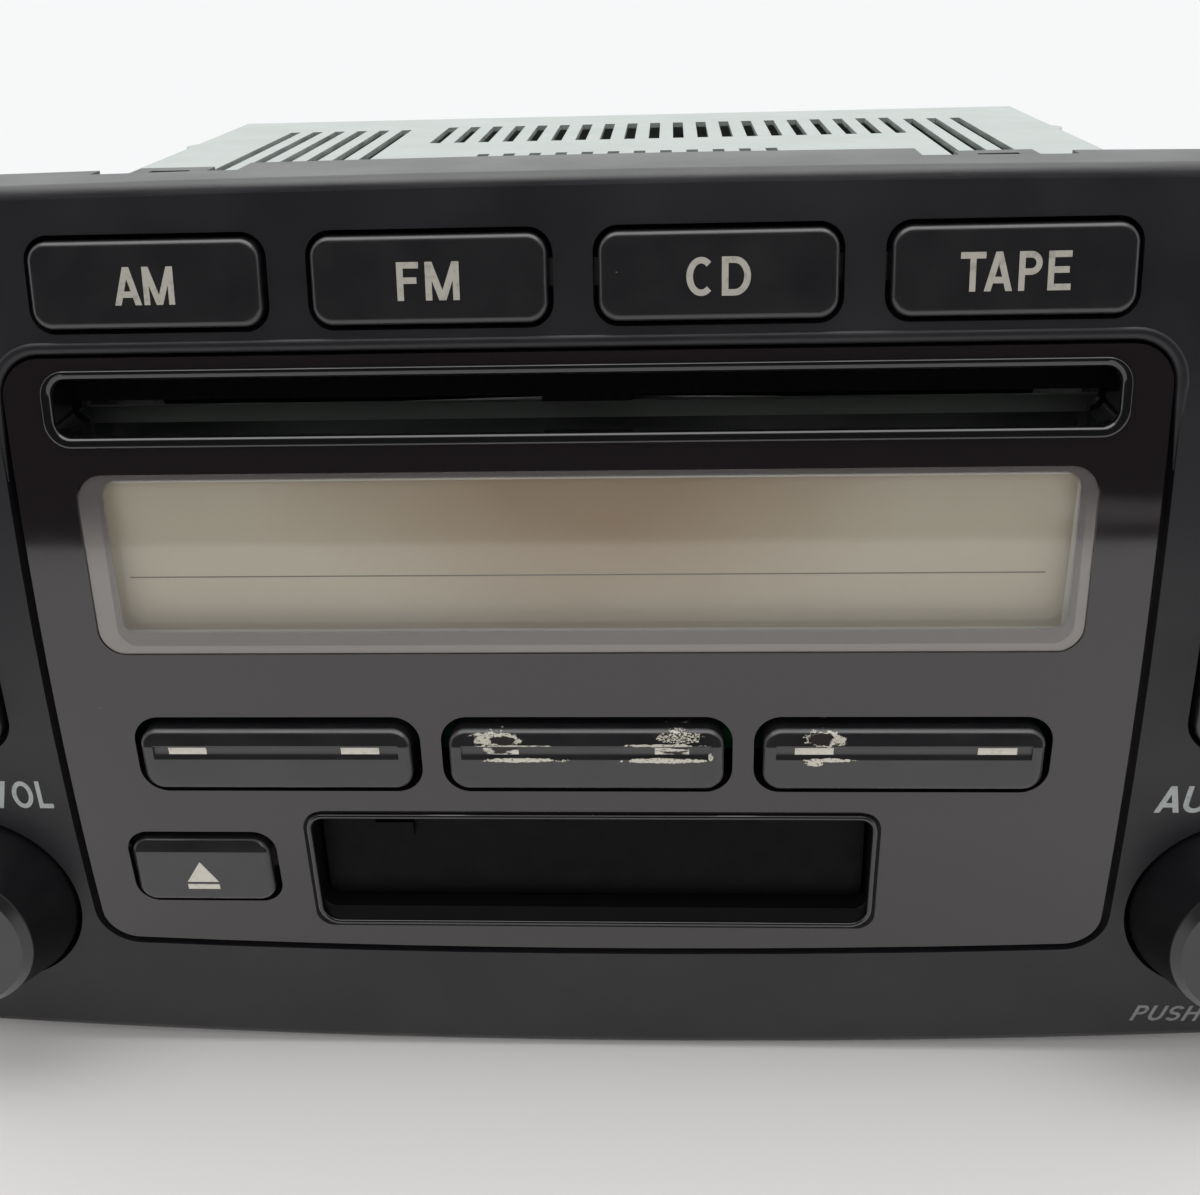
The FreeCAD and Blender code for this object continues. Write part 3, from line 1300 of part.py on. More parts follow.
def rear_fittings():
    """Heat sink, amplifier, harness socket, antenna socket and locating stud on the back."""
    sink = new_body("sink")
    base = sketch_on(sink, "XZ", "-chassis_back - sink_base")
    window(base, "sink_middle - sink_half", "sink_middle + sink_half", "sink_low", "sink_high")
    pad(base, "sink_base")
    fin = sketch_on(sink, "XZ", "-%s" % REAR)
    first = "sink_middle - sink_half"
    window(fin, first, first + " + fin_wall", "sink_low", "sink_high")
    fins = pad(fin, "sink_depth - sink_base")
    count = int(number("(2 * sink_half - fin_wall) / fin_pitch")) + 1
    row_of(sink, fins, fin, "(2 * sink_half - fin_wall) / %d" % (count - 1), count)
    seat(sink, "heat_sink")

    half = "amplifier_width / 2"
    x = ("sink_middle - " + half, "sink_middle + " + half)
    y = ("chassis_back - amplifier_depth", "chassis_back")
    z = (BOARD_TOP + " + amplifier_lift", BOARD_TOP + " + amplifier_lift + amplifier_height")
    pieces = [block("amplifier_chip", x, y, z)]
    legs = SIZES["amplifier_legs"]
    for place in range(legs):
        middle = "sink_middle + (%d - %d / 2) * amplifier_width / %d" % (place, legs - 1, legs)
        leg_x = (middle + " - steel / 2", middle + " + steel / 2")
        leg_y = ("main_board_back - steel", "main_board_back")
        leg_z = (BOARD_TOP, BOARD_TOP + " + amplifier_lift")
        pieces.append(block("amplifier_leg_%d" % place, leg_x, leg_y, leg_z))
    seat(fuse("amplifier", *pieces), "power_amplifier")

    x = ("socket_middle - socket_width / 2", "socket_middle + socket_width / 2")
    y = ("chassis_back + socket_reach - socket_depth", "chassis_back + socket_reach")
    z = (BOARD_TOP, BOARD_TOP + " + socket_height")
    housing = block("socket_housing", x, y, z)
    inner_x = (x[0] + " + socket_wall", x[1] + " - socket_wall")
    inner_z = (z[0] + " + socket_wall", z[1] + " - socket_wall")
    cavity = block("socket_cavity", inner_x, (y[0] + " + 2 * socket_wall", y[1] + " + socket_wall"), inner_z)
    pieces = [cut("socket_shell", housing, cavity)]
    columns = SIZES["socket_columns"]
    pitch = "(socket_width - 2 * socket_wall) / %d" % columns
    for column in range(columns):
        for level in ("1", "2"):
            middle = "socket_middle + (%d - %d / 2) * %s" % (column, columns - 1, pitch)
            height = "%s + %s * socket_height / 3" % (BOARD_TOP, level)
            start = (middle, y[0] + " + socket_wall", height)
            name = "socket_pin_%d_%s" % (column, level)
            pieces.append(drum(name, "y", start, "socket_depth / 2", "steel / 2"))
    seat(fuse("socket", *pieces), "harness_socket")

    outer = "antenna_radius"
    antenna = turned("antenna", [
        ("antenna_bore", "tuner_back"),
        (outer, "tuner_back"),
        (outer, "chassis_back + antenna_reach"),
        ("antenna_bore + antenna_wall", "chassis_back + antenna_reach"),
        ("antenna_bore + antenna_wall", "chassis_back + antenna_reach - antenna_lip"),
        ("antenna_bore", "chassis_back + antenna_reach - antenna_lip"),
    ], "XY")
    seat(antenna, "antenna_socket", "antenna_middle", "0", "antenna_height")

    stud = turned("stud", [
        ("0", "chassis_back - 2 * steel"),
        ("2 * stud_radius", "chassis_back - 2 * steel"),
        ("2 * stud_radius", "chassis_back - steel"),
        ("stud_neck", "chassis_back - steel"),
        ("stud_neck", "chassis_back"),
        ("stud_radius", "chassis_back"),
        ("stud_radius", "chassis_back + stud_length - steel"),
        ("stud_radius - steel", "chassis_back + stud_length"),
        ("0", "chassis_back + stud_length"),
    ], "XY")
    seat(stud, "locating_stud", "0", "0", "stud_height")


def main_board():
    """Main circuit board on the tray's shelves, with the tuner, capacitors and link to the front."""
    board = new_body("main_board")
    plate = sketch_on(board, "XY", "main_board_height")
    window(plate, "-main_board_half", "main_board_half", "main_board_front", "main_board_back")
    pad(plate, "board_wall")
    seat(board, "main_circuit_board")

    tuner_z = (BOARD_TOP, BOARD_TOP + " + tuner_height")
    can = block("tuner_can", ("tuner_left", "tuner_right"), ("tuner_front", "tuner_back"), tuner_z)
    pieces = [can]
    coils = SIZES["tuner_coils"]
    for place in range(coils):
        middle = "(tuner_left + (%d + 1 / 2) * (tuner_right - tuner_left) / %d)" % (place, coils)
        start = (middle, "tuner_front + 2 * shelf_depth", BOARD_TOP + " + tuner_height")
        pieces.append(drum("tuner_coil_%d" % place, "z", start, "steel", "shelf_depth / 3"))
    seat(fuse("tuner", *pieces), "tuner_module")

    cans = []
    for place in range(SIZES["can_count"]):
        x = "can_first + %d * can_pitch" % place
        cans.append(drum("can_%d" % place, "z", (x, "can_row", BOARD_TOP), "can_height", "can_radius"))
    edged = [soften("can_edge_%d" % place, can, "steel", is_round) for place, can in enumerate(cans)]
    seat(gather("cans", *edged), "filter_capacitors")

    x = ("link_left", "link_left + link_width")
    link_top = BOARD_TOP + " + link_height"
    link = block("link_body", x, ("board_front + board_wall", "link_back"), (BOARD_TOP, link_top))
    groove_x = (x[0] + " + steel", x[1] + " - steel")
    groove_y = ("skirt_depth + 3 * steel", "link_back - 3 * steel")
    groove = block("link_groove", groove_x, groove_y, (link_top + " - steel", link_top))
    seat(cut("link", link, groove), "link_connector")


def is_round(edge, shape):
    """Chooses the round edges."""
    return type(edge.Curve) is Part.Circle


def shelf_pair(name, y, z, x_inner, x_outer):
    """Two like ears, one on each side."""
    left = block(name + "_left", ("-" + x_outer, "-" + x_inner), y, z)
    right = block(name + "_right", (x_inner, x_outer), y, z)
    return [left, right]


def disc_deck():
    """Disc mechanism on its rubber dampers."""
    half = "disc_deck_half"
    base_z = ("disc_deck_height", "disc_deck_height + deck_wall")
    depth = ("disc_deck_front", "disc_deck_back")
    pieces = [block("disc_base", ("-" + half, half), depth, base_z)]
    wall_z = ("disc_deck_height", "disc_deck_top")
    pieces += shelf_pair("disc_wall", depth, wall_z, "(disc_deck_half - deck_wall)", "disc_deck_half")
    bridge_y = ("disc_middle - bridge_half", "disc_middle + bridge_half")
    bridge_z = ("disc_deck_top - deck_wall", "disc_deck_top")
    pieces.append(block("disc_bridge", ("-" + half, half), bridge_y, bridge_z))
    ear = "(tray_half - steel - stop_width)"
    for place, start in enumerate(BRACKET_STARTS):
        y = (start, start + " + shelf_depth")
        pieces += shelf_pair("disc_ear_%d" % place, y, base_z, "disc_deck_half", ear)
    posts = [("rod_front - 2 * deck_wall", "rod_front"), ("rod_back", "rod_back + deck_wall")]
    for place, y in enumerate(posts):
        x = ("screw_line - 3 * rod_radius", "rod_line + 3 * rod_radius")
        post = block("disc_post_%d" % place, x, y, ("disc_deck_height", "rod_height + 2 * rod_radius"))
        pieces.append(post)
    rod = drum("disc_rod", "y", ("rod_line", "rod_front", "rod_height"), "rod_back - rod_front", "rod_radius")
    pieces.append(rod)
    roller_start = ("-tray_half", "roller_back", ROLLER_HEIGHT)
    roller_bore = ROLLER_SHAFT + " + running_gap"
    neck_start = ("0", "disc_middle", "disc_deck_top - 2 * deck_wall")
    screw_start = ("screw_line", "rod_front - 4 * deck_wall", "rod_height")
    screw_length = "rod_back - rod_front + 8 * deck_wall"
    holes = [
        drum("disc_roller_hole", "x", roller_start, "2 * tray_half", roller_bore),
        drum("disc_clamper_hole", "z", neck_start, "4 * deck_wall", "clamper_neck + running_gap"),
        drum("disc_screw_hole", "y", screw_start, screw_length, "rod_radius + running_gap"),
    ]
    seat(cut("disc_frame", fuse("disc_frame_solid", *pieces), *holes), "cd_deck_frame")

    dampers = []
    for place, start in enumerate(BRACKET_STARTS):
        for side, sign in (("left", "-"), ("right", "")):
            x = sign + "(tray_half - steel - stop_width - damper_radius)"
            spot = (x, start + " + shelf_depth / 2", "disc_deck_height - damper_height")
            name = "damper_%s_%d" % (side, place)
            dampers.append(drum(name, "z", spot, "damper_height", "damper_radius - steel / 2"))
    seat(gather("dampers", *dampers), "cd_deck_dampers")

    motor = turned("spindle_motor", [
        ("spindle_radius + running_gap", base_z[1]),
        ("motor_radius", base_z[1]),
        ("motor_radius", "motor_top - deck_wall"),
        ("motor_radius - deck_wall", "motor_top"),
        ("spindle_radius + running_gap", "motor_top"),
    ])
    seat(motor, "cd_spindle_motor", "0", "disc_middle", "0")

    platter_low = "platter_top - platter_wall"
    turntable = turned("turntable", [
        ("0", base_z[1] + " + stop_gap"),
        ("spindle_radius", base_z[1] + " + stop_gap"),
        ("spindle_radius", platter_low),
        ("platter_radius", platter_low),
        ("platter_radius", "platter_top"),
        ("hub_radius", "platter_top"),
        ("hub_radius - platter_wall / 2", "platter_top + hub_height"),
        ("0", "platter_top + hub_height"),
    ])
    seat(turntable, "cd_turntable", "0", "disc_middle", "0")

    neck_top = "disc_deck_top + running_gap"
    clamper = turned("clamper", [
        ("0", "clamper_low"),
        ("clamper_radius", "clamper_low"),
        ("clamper_radius", "clamper_low + clamper_wall"),
        ("clamper_neck", "clamper_low + clamper_wall"),
        ("clamper_neck", neck_top),
        ("clamper_neck + clamper_wall", neck_top),
        ("clamper_neck + clamper_wall", neck_top + " + deck_wall"),
        ("0", neck_top + " + deck_wall"),
    ])
    seat(clamper, "cd_clamper", "0", "disc_middle", "0")

    journal = "(disc_deck_half + 2 * deck_wall)"
    roller = turned("roller", [
        ("0", "-" + journal),
        (ROLLER_SHAFT, "-" + journal),
        (ROLLER_SHAFT, "-roller_half"),
        ("roller_radius", "-roller_half"),
        ("roller_radius - roller_waist", "0"),
        ("roller_radius", "roller_half"),
        (ROLLER_SHAFT, "roller_half"),
        (ROLLER_SHAFT, journal),
        ("0", journal),
    ])
    roller.Placement = FreeCAD.Placement(FreeCAD.Vector(), TURNS["x"])
    seat(roller, "cd_loading_roller", "0", "roller_back", ROLLER_HEIGHT)

    front_end = "(rod_front - 3 * deck_wall)"
    back_end = "(rod_back + 2 * deck_wall)"
    points = [("0", front_end), ("rod_radius", front_end), ("rod_radius", "rod_front + running_gap")]
    turns = int(number("(rod_back - rod_front - lead_pitch / 2) / lead_pitch"))
    for turn in range(turns):
        root = "rod_front + lead_pitch / 4 + %d * lead_pitch" % turn
        points += [("rod_radius", root), ("lead_radius", root + " + lead_pitch / 4")]
        points.append(("lead_radius", root + " + lead_pitch / 2"))
        points.append(("rod_radius", root + " + 3 * lead_pitch / 4"))
    points += [("rod_radius", back_end), ("0", back_end)]
    seat(turned("lead_screw", points, "XY"), "cd_lead_screw", "screw_line", "0", "rod_height")

    sled_x = ("screw_line - 2 * lead_radius", "rod_line + 2 * lead_radius")
    sled_y = ("sled_front", "sled_front + sled_length")
    sled_z = ("rod_height - sled_wall / 2", "rod_height + sled_wall / 2")
    sled_block = rounded("sled_body", sled_x, sled_y, sled_z, "lead_radius", "z")
    eye_spot = ("0", "sled_front + sled_length / 2", "rod_height")
    eyepiece = drum("sled_eyepiece", "z", eye_spot, "sled_wall / 2 + eyepiece_height", "eyepiece_radius")
    bores = []
    for name, line, radius in (("screw", "screw_line", "lead_radius"), ("rod", "rod_line", "rod_radius")):
        start = (line, "sled_front - sled_length", "rod_height")
        bores.append(drum("sled_bore_" + name, "y", start, "3 * sled_length", radius + " + running_gap"))
    seat(cut("sled", fuse("sled_solid", sled_block, eyepiece), *bores), "cd_laser_sled")


def tape_deck():
    """Cassette mechanism, which stands on the tray's floor."""
    half = "tape_deck_half"
    base_z = ("tape_deck_height", "tape_deck_height + deck_wall")
    pieces = [block("tape_base", ("-" + half, half), ("tape_deck_front", "tape_deck_back"), base_z)]
    wall_z = ("tape_deck_height", "tape_wall_top")
    wall_y = ("tape_deck_front", "tape_wall_back")
    pieces += shelf_pair("tape_wall", wall_y, wall_z, "(tape_deck_half - deck_wall)", half)
    floor = "(tray_low + steel)"
    for sign in ("-", ""):
        for back in ("tape_deck_front + leg_inset", "tape_deck_back - leg_inset"):
            spot = (sign + "(tape_deck_half - leg_inset)", back, floor)
            pieces.append(drum("tape_leg", "z", spot, "tape_deck_height - " + floor, "leg_radius"))
    holes = []
    for sign in ("-", "+"):
        side = "front" if sign == "-" else "back"
        y = "hub_middle %s capstan_pitch / 2" % sign
        rise = "bearing_top - tape_deck_height"
        start = ("capstan_line", y, "tape_deck_height")
        pieces.append(drum("tape_bearing_" + side, "z", start, rise, "bearing_radius"))
        start = ("capstan_line", y, "0")
        bore = "capstan_radius + running_gap"
        holes.append(drum("tape_capstan_hole_" + side, "z", start, "tape_wall_top", bore))
        start = ("hub_line", "hub_middle %s hub_pitch / 2" % sign, "0")
        bore = "reel_shaft + running_gap"
        holes.append(drum("tape_reel_hole_" + side, "z", start, "tape_wall_top", bore))
    start = ("tape_motor_line", "tape_motor_back", "0")
    holes.append(drum("tape_motor_hole", "z", start, "tape_wall_top", "capstan_radius + stop_gap"))
    seat(cut("tape_frame", fuse("tape_frame_solid", *pieces), *holes), "tape_deck_frame")

    for side, sign in (("front", "-"), ("back", "+")):
        capstan = turned("capstan_" + side, [
            ("0", "capstan_low"),
            ("capstan_radius", "capstan_low"),
            ("capstan_radius", "flywheel_low"),
            ("flywheel_radius", "flywheel_low"),
            ("flywheel_radius", "flywheel_low + flywheel_wall"),
            ("flywheel_radius - bearing_radius", "flywheel_low + flywheel_wall"),
            ("flywheel_radius - bearing_radius", "flywheel_low + flywheel_wall / 2"),
            ("bearing_radius", "flywheel_low + flywheel_wall / 2"),
            ("bearing_radius", "tape_deck_height - running_gap"),
            ("capstan_radius", "tape_deck_height - running_gap"),
            ("capstan_radius", "capstan_top"),
            ("0", "capstan_top"),
        ])
        seat(capstan, "capstan_" + side, "capstan_line", "hub_middle %s capstan_pitch / 2" % sign, "0")

        flange_low = "(tape_deck_height + deck_wall + running_gap)"
        washer_top = "(tape_deck_height - running_gap)"
        hub = turned("reel_" + side, [
            ("0", "reel_low"),
            ("reel_shaft + steel", "reel_low"),
            ("reel_shaft + steel", washer_top),
            ("reel_shaft", washer_top),
            ("reel_shaft", flange_low),
            ("reel_flange_radius", flange_low),
            ("reel_flange_radius", flange_low + " + reel_flange_wall"),
            ("reel_hub_radius", flange_low + " + reel_flange_wall"),
            ("reel_hub_radius", "reel_top - 2 * steel"),
            ("reel_hub_radius / 3", "reel_top"),
            ("0", "reel_top"),
        ])
        tooth = sketch_on(hub, "XY", flange_low + " + reel_flange_wall / 2")
        window(tooth, "reel_hub_radius / 2", "tooth_reach", "-tooth_width / 2", "tooth_width / 2")
        teeth = pad(tooth, "reel_top - 3 * steel - %s" % flange_low)
        pattern = hub.newObject("PartDesign::PolarPattern", "reel_teeth_" + side)
        pattern.Originals = [teeth]
        pattern.Axis = (tooth, ["N_Axis"])
        pattern.Angle = 360
        pattern.Occurrences = SIZES["reel_teeth"]
        hub.Tip = pattern
        seat(hub, "reel_spindle_" + side, "hub_line", "hub_middle %s hub_pitch / 2" % sign, "0")

    motor_top = "tape_deck_height + deck_wall + tape_motor_height"
    motor = turned("tape_motor", [
        ("capstan_radius + running_gap", base_z[1]),
        ("tape_motor_radius", base_z[1]),
        ("tape_motor_radius", motor_top + " - deck_wall"),
        ("tape_motor_radius - deck_wall", motor_top),
        ("capstan_radius + running_gap", motor_top),
    ])
    seat(motor, "tape_motor", "tape_motor_line", "tape_motor_back", "0")
    rise = "(flywheel_low + flywheel_wall)"
    pulley = turned("pulley", [
        ("0", "flywheel_low"),
        ("pulley_radius", "flywheel_low"),
        ("pulley_radius - steel / 2", "flywheel_low + flywheel_wall / 2"),
        ("pulley_radius", rise),
        ("capstan_radius", rise),
        ("capstan_radius", motor_top),
        ("0", motor_top),
    ])
    seat(pulley, "tape_motor_pulley", "tape_motor_line", "tape_motor_back", "0")

    plate_z = (base_z[1] + " + running_gap", base_z[1] + " + running_gap + head_plate_wall")
    reach = "(capstan_pitch / 2 - bearing_radius - steel)"
    plate_y = ("hub_middle - " + reach, "hub_middle + " + reach)
    plate = block("head_plate", ("head_rest", "head_rest + head_depth + steel"), plate_y, plate_z)
    head_y = ("hub_middle - head_width / 2", "hub_middle + head_width / 2")
    head_x = ("head_rest + steel", "head_rest + head_depth")
    post = block("head_post", head_x, head_y, (plate_z[0], "head_high"))
    nose_x = ("head_rest", "head_rest + 2 * steel")
    nose_y = ("hub_middle - head_width / 4", "hub_middle + head_width / 4")
    nose = block("head_nose", nose_x, nose_y, ("head_low", "head_high - steel"))
    seat(fuse("tape_head", plate, post, nose), "tape_head")


front_bezel()
centre_panel()
disc_slot()
display()
keys()
knobs()
cassette_slot()
front_board()
screws()
chassis()
rear_fittings()
main_board()
disc_deck()
tape_deck()

document.recompute()
broken = [thing.Label for thing in document.Objects if "Invalid" in thing.State or "Error" in thing.State]
if broken:
    raise SystemExit("these did not build: " + ", ".join(broken))
for part in PARTS:
    if part.Shape.isNull() or not part.Shape.isValid():
        raise SystemExit(part.Label + " has no valid shape")
os.makedirs("parts", exist_ok=True)
for part in PARTS:
    part.Shape.exportStep(os.path.join("parts", part.Label + ".step"))
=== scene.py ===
import bpy
import math
from mathutils import Matrix, Vector
from mathutils.bvhtree import BVHTree


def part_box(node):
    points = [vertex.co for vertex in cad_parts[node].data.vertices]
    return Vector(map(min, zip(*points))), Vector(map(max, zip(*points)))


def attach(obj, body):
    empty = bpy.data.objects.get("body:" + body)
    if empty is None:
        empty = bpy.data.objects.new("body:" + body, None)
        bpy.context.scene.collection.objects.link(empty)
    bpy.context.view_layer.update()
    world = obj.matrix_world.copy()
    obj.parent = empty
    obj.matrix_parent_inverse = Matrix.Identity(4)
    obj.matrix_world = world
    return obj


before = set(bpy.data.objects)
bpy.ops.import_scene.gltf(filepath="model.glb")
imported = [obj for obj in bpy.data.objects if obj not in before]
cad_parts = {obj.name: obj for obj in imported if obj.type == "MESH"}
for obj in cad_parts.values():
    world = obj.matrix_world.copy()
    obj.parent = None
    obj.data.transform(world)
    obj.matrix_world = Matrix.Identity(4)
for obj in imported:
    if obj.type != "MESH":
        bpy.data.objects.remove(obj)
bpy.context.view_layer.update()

# Chassis: a folded tray, an inner front frame and a rear panel, pressed from zinc-plated steel sheet.
# The plating shows a faint spangle, rubbed spots where the unit slid into its bay, and a trace of dust.

zinc_colour, zinc_dull, zinc_spangle = (0.50, 0.53, 0.50), (0.455, 0.483, 0.457), 0.006


def fill(node, *terms, **named):
    """Fill a node's inputs, in order or by name: another node's output is linked, a plain value is set."""
    for word, value in [*enumerate(terms), *named.items()]:
        if isinstance(word, int):
            socket = node.inputs[word]
        else:
            word = word.replace("_", " ")
            socket = next(one for one in node.inputs if one.enabled and word in (one.name, one.identifier))
        for term in value if isinstance(value, list) else [value]:
            if isinstance(term, bpy.types.NodeSocket):
                node.id_data.links.new(term, socket)
            elif term is not None:
                socket.default_value = term


def put(tree, kind, settings=None, *terms, **named):
    """Add a node to a tree and fill its inputs; returns its first output in use."""
    node = tree.nodes.new(kind)
    for word, choice in (settings or {}).items():
        setattr(node, word, choice)
    fill(node, *terms, **named)
    return next(one for one in node.outputs if one.enabled)


def shader_of(finish):
    """The shader node of a material."""
    return finish.node_tree.nodes["Principled BSDF"]


def start_finish(name, colour, roughness, metallic=0.0):
    """A new material whose shader holds this colour, roughness and metal share."""
    finish = bpy.data.materials.new(name)
    finish.use_nodes = True
    fill(shader_of(finish), Base_Color=(*colour, 1.0), Roughness=roughness, Metallic=metallic)
    return finish


def own_spot(finish):
    """The piece's own coordinates, in metres."""
    return put(finish.node_tree, "ShaderNodeTexCoord").node.outputs["Object"]


def lay_texture(finish, kind, stretch=(1.0, 1.0, 1.0), shift=(0.0, 0.0, 0.0), **inputs):
    """A texture laid out by the piece's own coordinates; returns its first output."""
    fitted = put(finish.node_tree, "ShaderNodeMapping", Vector=own_spot(finish), Scale=stretch, Location=shift)
    return put(finish.node_tree, kind, Vector=fitted, **inputs)


def lay_noise(finish, size, stretch=(1.0, 1.0, 1.0), detail=4.0, rough=0.55):
    """Uneven patches about as wide as size, in metres."""
    return lay_texture(finish, "ShaderNodeTexNoise", stretch, Scale=1.0 / size, Detail=detail, Roughness=rough)


def spread(finish, wave, start, end, first=0.0, second=1.0, curve="LINEAR"):
    """Go from the first value to the second while the wave goes from start to end."""
    return put(
        finish.node_tree, "ShaderNodeMapRange", {"interpolation_type": curve},
        Value=wave, From_Min=start, From_Max=end, To_Min=first, To_Max=second,
    )


def vary_colour(finish, wave, first, second, start=0.35, end=0.65):
    """Let a texture carry the base colour from one colour to another."""
    carried = put(finish.node_tree, "ShaderNodeValToRGB", Fac=wave)
    for stop, position, colour in zip(carried.node.color_ramp.elements, (start, end), (first, second)):
        stop.position, stop.color = position, (*colour, 1.0)
    fill(shader_of(finish), Base_Color=carried)


def vary_roughness(finish, wave, first, second, start=0.35, end=0.65):
    """Let a texture carry the roughness from one value to another."""
    fill(shader_of(finish), Roughness=spread(finish, wave, start, end, first, second))


def emboss(finish, wave, depth, share=1.0):
    """Raise and sink the surface by a texture, depth in metres."""
    normal = shader_of(finish).inputs["Normal"]
    under = normal.links[0].from_socket if normal.is_linked else None
    raised = put(finish.node_tree, "ShaderNodeBump", Strength=share, Distance=depth, Height=wave, Normal=under)
    fill(shader_of(finish), Normal=raised)


def mottle(finish, size, *colours_and_span):
    """Let the colour change in patches of about this size."""
    vary_colour(finish, lay_noise(finish, size), *colours_and_span)


def vary_polish(finish, size, first, second):
    """Let the roughness change in patches of about this size."""
    vary_roughness(finish, lay_noise(finish, size), first, second)


def lay_grain(finish, size, depth, share):
    """A grain of about this size and depth in the surface."""
    emboss(finish, lay_noise(finish, size), depth, share)


def dress(finish, *names):
    """Give a finish to CAD nodes."""
    for name in names:
        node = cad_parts[name]
        node.data.materials.clear()
        node.data.materials.append(finish)


def plated_steel(name, colour, dull, spangle):
    """Steel sheet with a crystalline coating, rubbed and a little dusty."""
    finish = start_finish(name, colour, 0.42, 0.75)
    flakes = lay_texture(finish, "ShaderNodeTexVoronoi", Scale=1.0 / spangle)
    vary_roughness(finish, flakes, 0.34, 0.52, 0.1, 0.8)
    mottle(finish, 0.014, dull, colour, 0.38, 0.60)
    lay_grain(finish, 0.0012, 0.00002, 0.5)
    emboss(finish, lay_noise(finish, 0.0006, (1.0, 0.04, 1.0)), 0.00002, 0.3)
    return finish


zinc_steel = plated_steel("zinc_plated_steel", zinc_colour, zinc_dull, zinc_spangle)
dress(zinc_steel, "chassis_tray", "front_frame", "rear_panel")

# Circuit boards: glass-fibre board under green lacquer, with copper tracks showing through it as
# lighter bands. The main board stands on the tray's shelves and the front board hangs behind the face.

lacquer_dark, lacquer_track, tracks_per_metre = (0.012, 0.075, 0.030), (0.030, 0.150, 0.055), 260.0
board_green = start_finish("lacquered_circuit_board", lacquer_dark, 0.32)
tracks = lay_texture(board_green, "ShaderNodeTexVoronoi", Scale=tracks_per_metre)
tracks.node.distance = "MANHATTAN"
vary_colour(board_green, tracks, lacquer_track, lacquer_dark, 0.42, 0.47)
emboss(board_green, tracks, 0.00003, 0.4)
dress(board_green, "main_circuit_board", "front_circuit_board")

# Board parts: chip resistors and flat packages soldered wherever the main board is free, black bodies
# between tinned ends.

board_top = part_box("main_circuit_board")[1].z
free_areas = (
    (-0.080, 0.046, -0.054, 0.024), (-0.080, 0.044, 0.030, 0.062), (0.054, 0.080, -0.054, 0.026),
    (-0.080, -0.049, 0.064, 0.082),
)
crowding, end_width, end_height = 90000.0, 0.9, 0.6
body_colour, end_colour = (0.020, 0.020, 0.022), (0.62, 0.62, 0.60)


def set_out(name, data):
    """Put a mesh, curve, lamp or camera into the scene, at the origin."""
    piece = bpy.data.objects.new(name, data)
    bpy.context.scene.collection.objects.link(piece)
    return piece


def show(name, mesh, finish, body):
    """Turn a finished mesh into a piece that moves with a body."""
    mesh.materials.clear()
    mesh.materials.append(finish)
    piece = set_out(name, mesh)
    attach(piece, body)
    return piece


def start_tree(name, **inputs):
    """A node tree with named inputs that makes one geometry; returns it and its inputs."""
    tree = bpy.data.node_groups.new(name, "GeometryNodeTree")
    for word, kind in inputs.items():
        tree.interface.new_socket(word, in_out="INPUT", socket_type="NodeSocket" + kind)
    tree.interface.new_socket("Made", in_out="OUTPUT", socket_type="NodeSocketGeometry")
    return tree, tree.nodes.new("NodeGroupInput").outputs


def end_tree(tree, geometry, paint):
    """Turn instances into plain mesh, give it its material and hand it out."""
    real = put(tree, "GeometryNodeRealizeInstances", Geometry=geometry)
    painted = put(tree, "GeometryNodeSetMaterial", Geometry=real, Material=paint)
    tree.links.new(painted, tree.nodes.new("NodeGroupOutput").inputs["Made"])


def grow(tree, name, mesh, **values):
    """Run a node tree on a mesh with its named inputs set, and return the plain mesh it makes."""
    base = set_out(name, mesh)
    step = base.modifiers.new("made_by", "NODES")
    step.node_group = tree
    for socket in tree.interface.items_tree:
        if socket.in_out == "INPUT" and socket.name in values:
            step[socket.identifier] = values[socket.name]
    made = bpy.data.meshes.new_from_object(base.evaluated_get(bpy.context.evaluated_depsgraph_get()))
    base.modifiers.remove(step)
    bpy.data.objects.remove(base)
    return made


strewn, given = start_tree(
    "strewn_parts", Areas="Geometry", Spacing="Float", Seed="Int", Body="Vector", Shift="Vector", Pair="Bool",
    Paint="Material",
)
spots = put(
    strewn, "GeometryNodeDistributePointsOnFaces", {"distribute_method": "POISSON"},
    Mesh=given["Areas"], Distance_Min=given["Spacing"], Density_Max=crowding, Seed=given["Seed"],
)
block = put(strewn, "GeometryNodeMeshCube", Size=given["Body"])
one_side = put(strewn, "GeometryNodeTransform", Geometry=block, Translation=given["Shift"])
swapped = put(strewn, "ShaderNodeVectorMath", {"operation": "MULTIPLY"}, given["Shift"], (-1.0, 1.0, 1.0))
other_side = put(strewn, "GeometryNodeTransform", Geometry=block, Translation=swapped)
second = put(
    strewn, "GeometryNodeSwitch", {"input_type": "GEOMETRY"}, Switch=given["Pair"], **{"True": other_side},
)
part = put(strewn, "GeometryNodeJoinGeometry", Geometry=[one_side, second])
crosswise = put(strewn, "FunctionNodeRandomValue", {"data_type": "BOOLEAN"}, Probability=0.5)
turned = put(
    strewn, "GeometryNodeSwitch", {"input_type": "ROTATION"}, Switch=crosswise,
    **{"False": (0.0, 0.0, 0.0), "True": (0.0, 0.0, math.pi / 2)},
)
placed = put(strewn, "GeometryNodeInstanceOnPoints", Points=spots, Instance=part, Rotation=turned)
end_tree(strewn, placed, given["Paint"])


def box_outline(left, right, low, high):
    """A rectangle's four corners."""
    return [(left, low), (right, low), (right, high), (left, high)]


def shape(name, corners, faces):
    """A mesh from its corners and faces."""
    mesh = bpy.data.meshes.new(name)
    mesh.from_pydata(corners, [], faces)
    return mesh


def free_board():
    """The board's free areas as flat faces."""
    corners = [(x, y, board_top) for area in free_areas for x, y in box_outline(*area)]
    return shape("free_areas", corners, [range(first, first + 4) for first in range(0, len(corners), 4)])


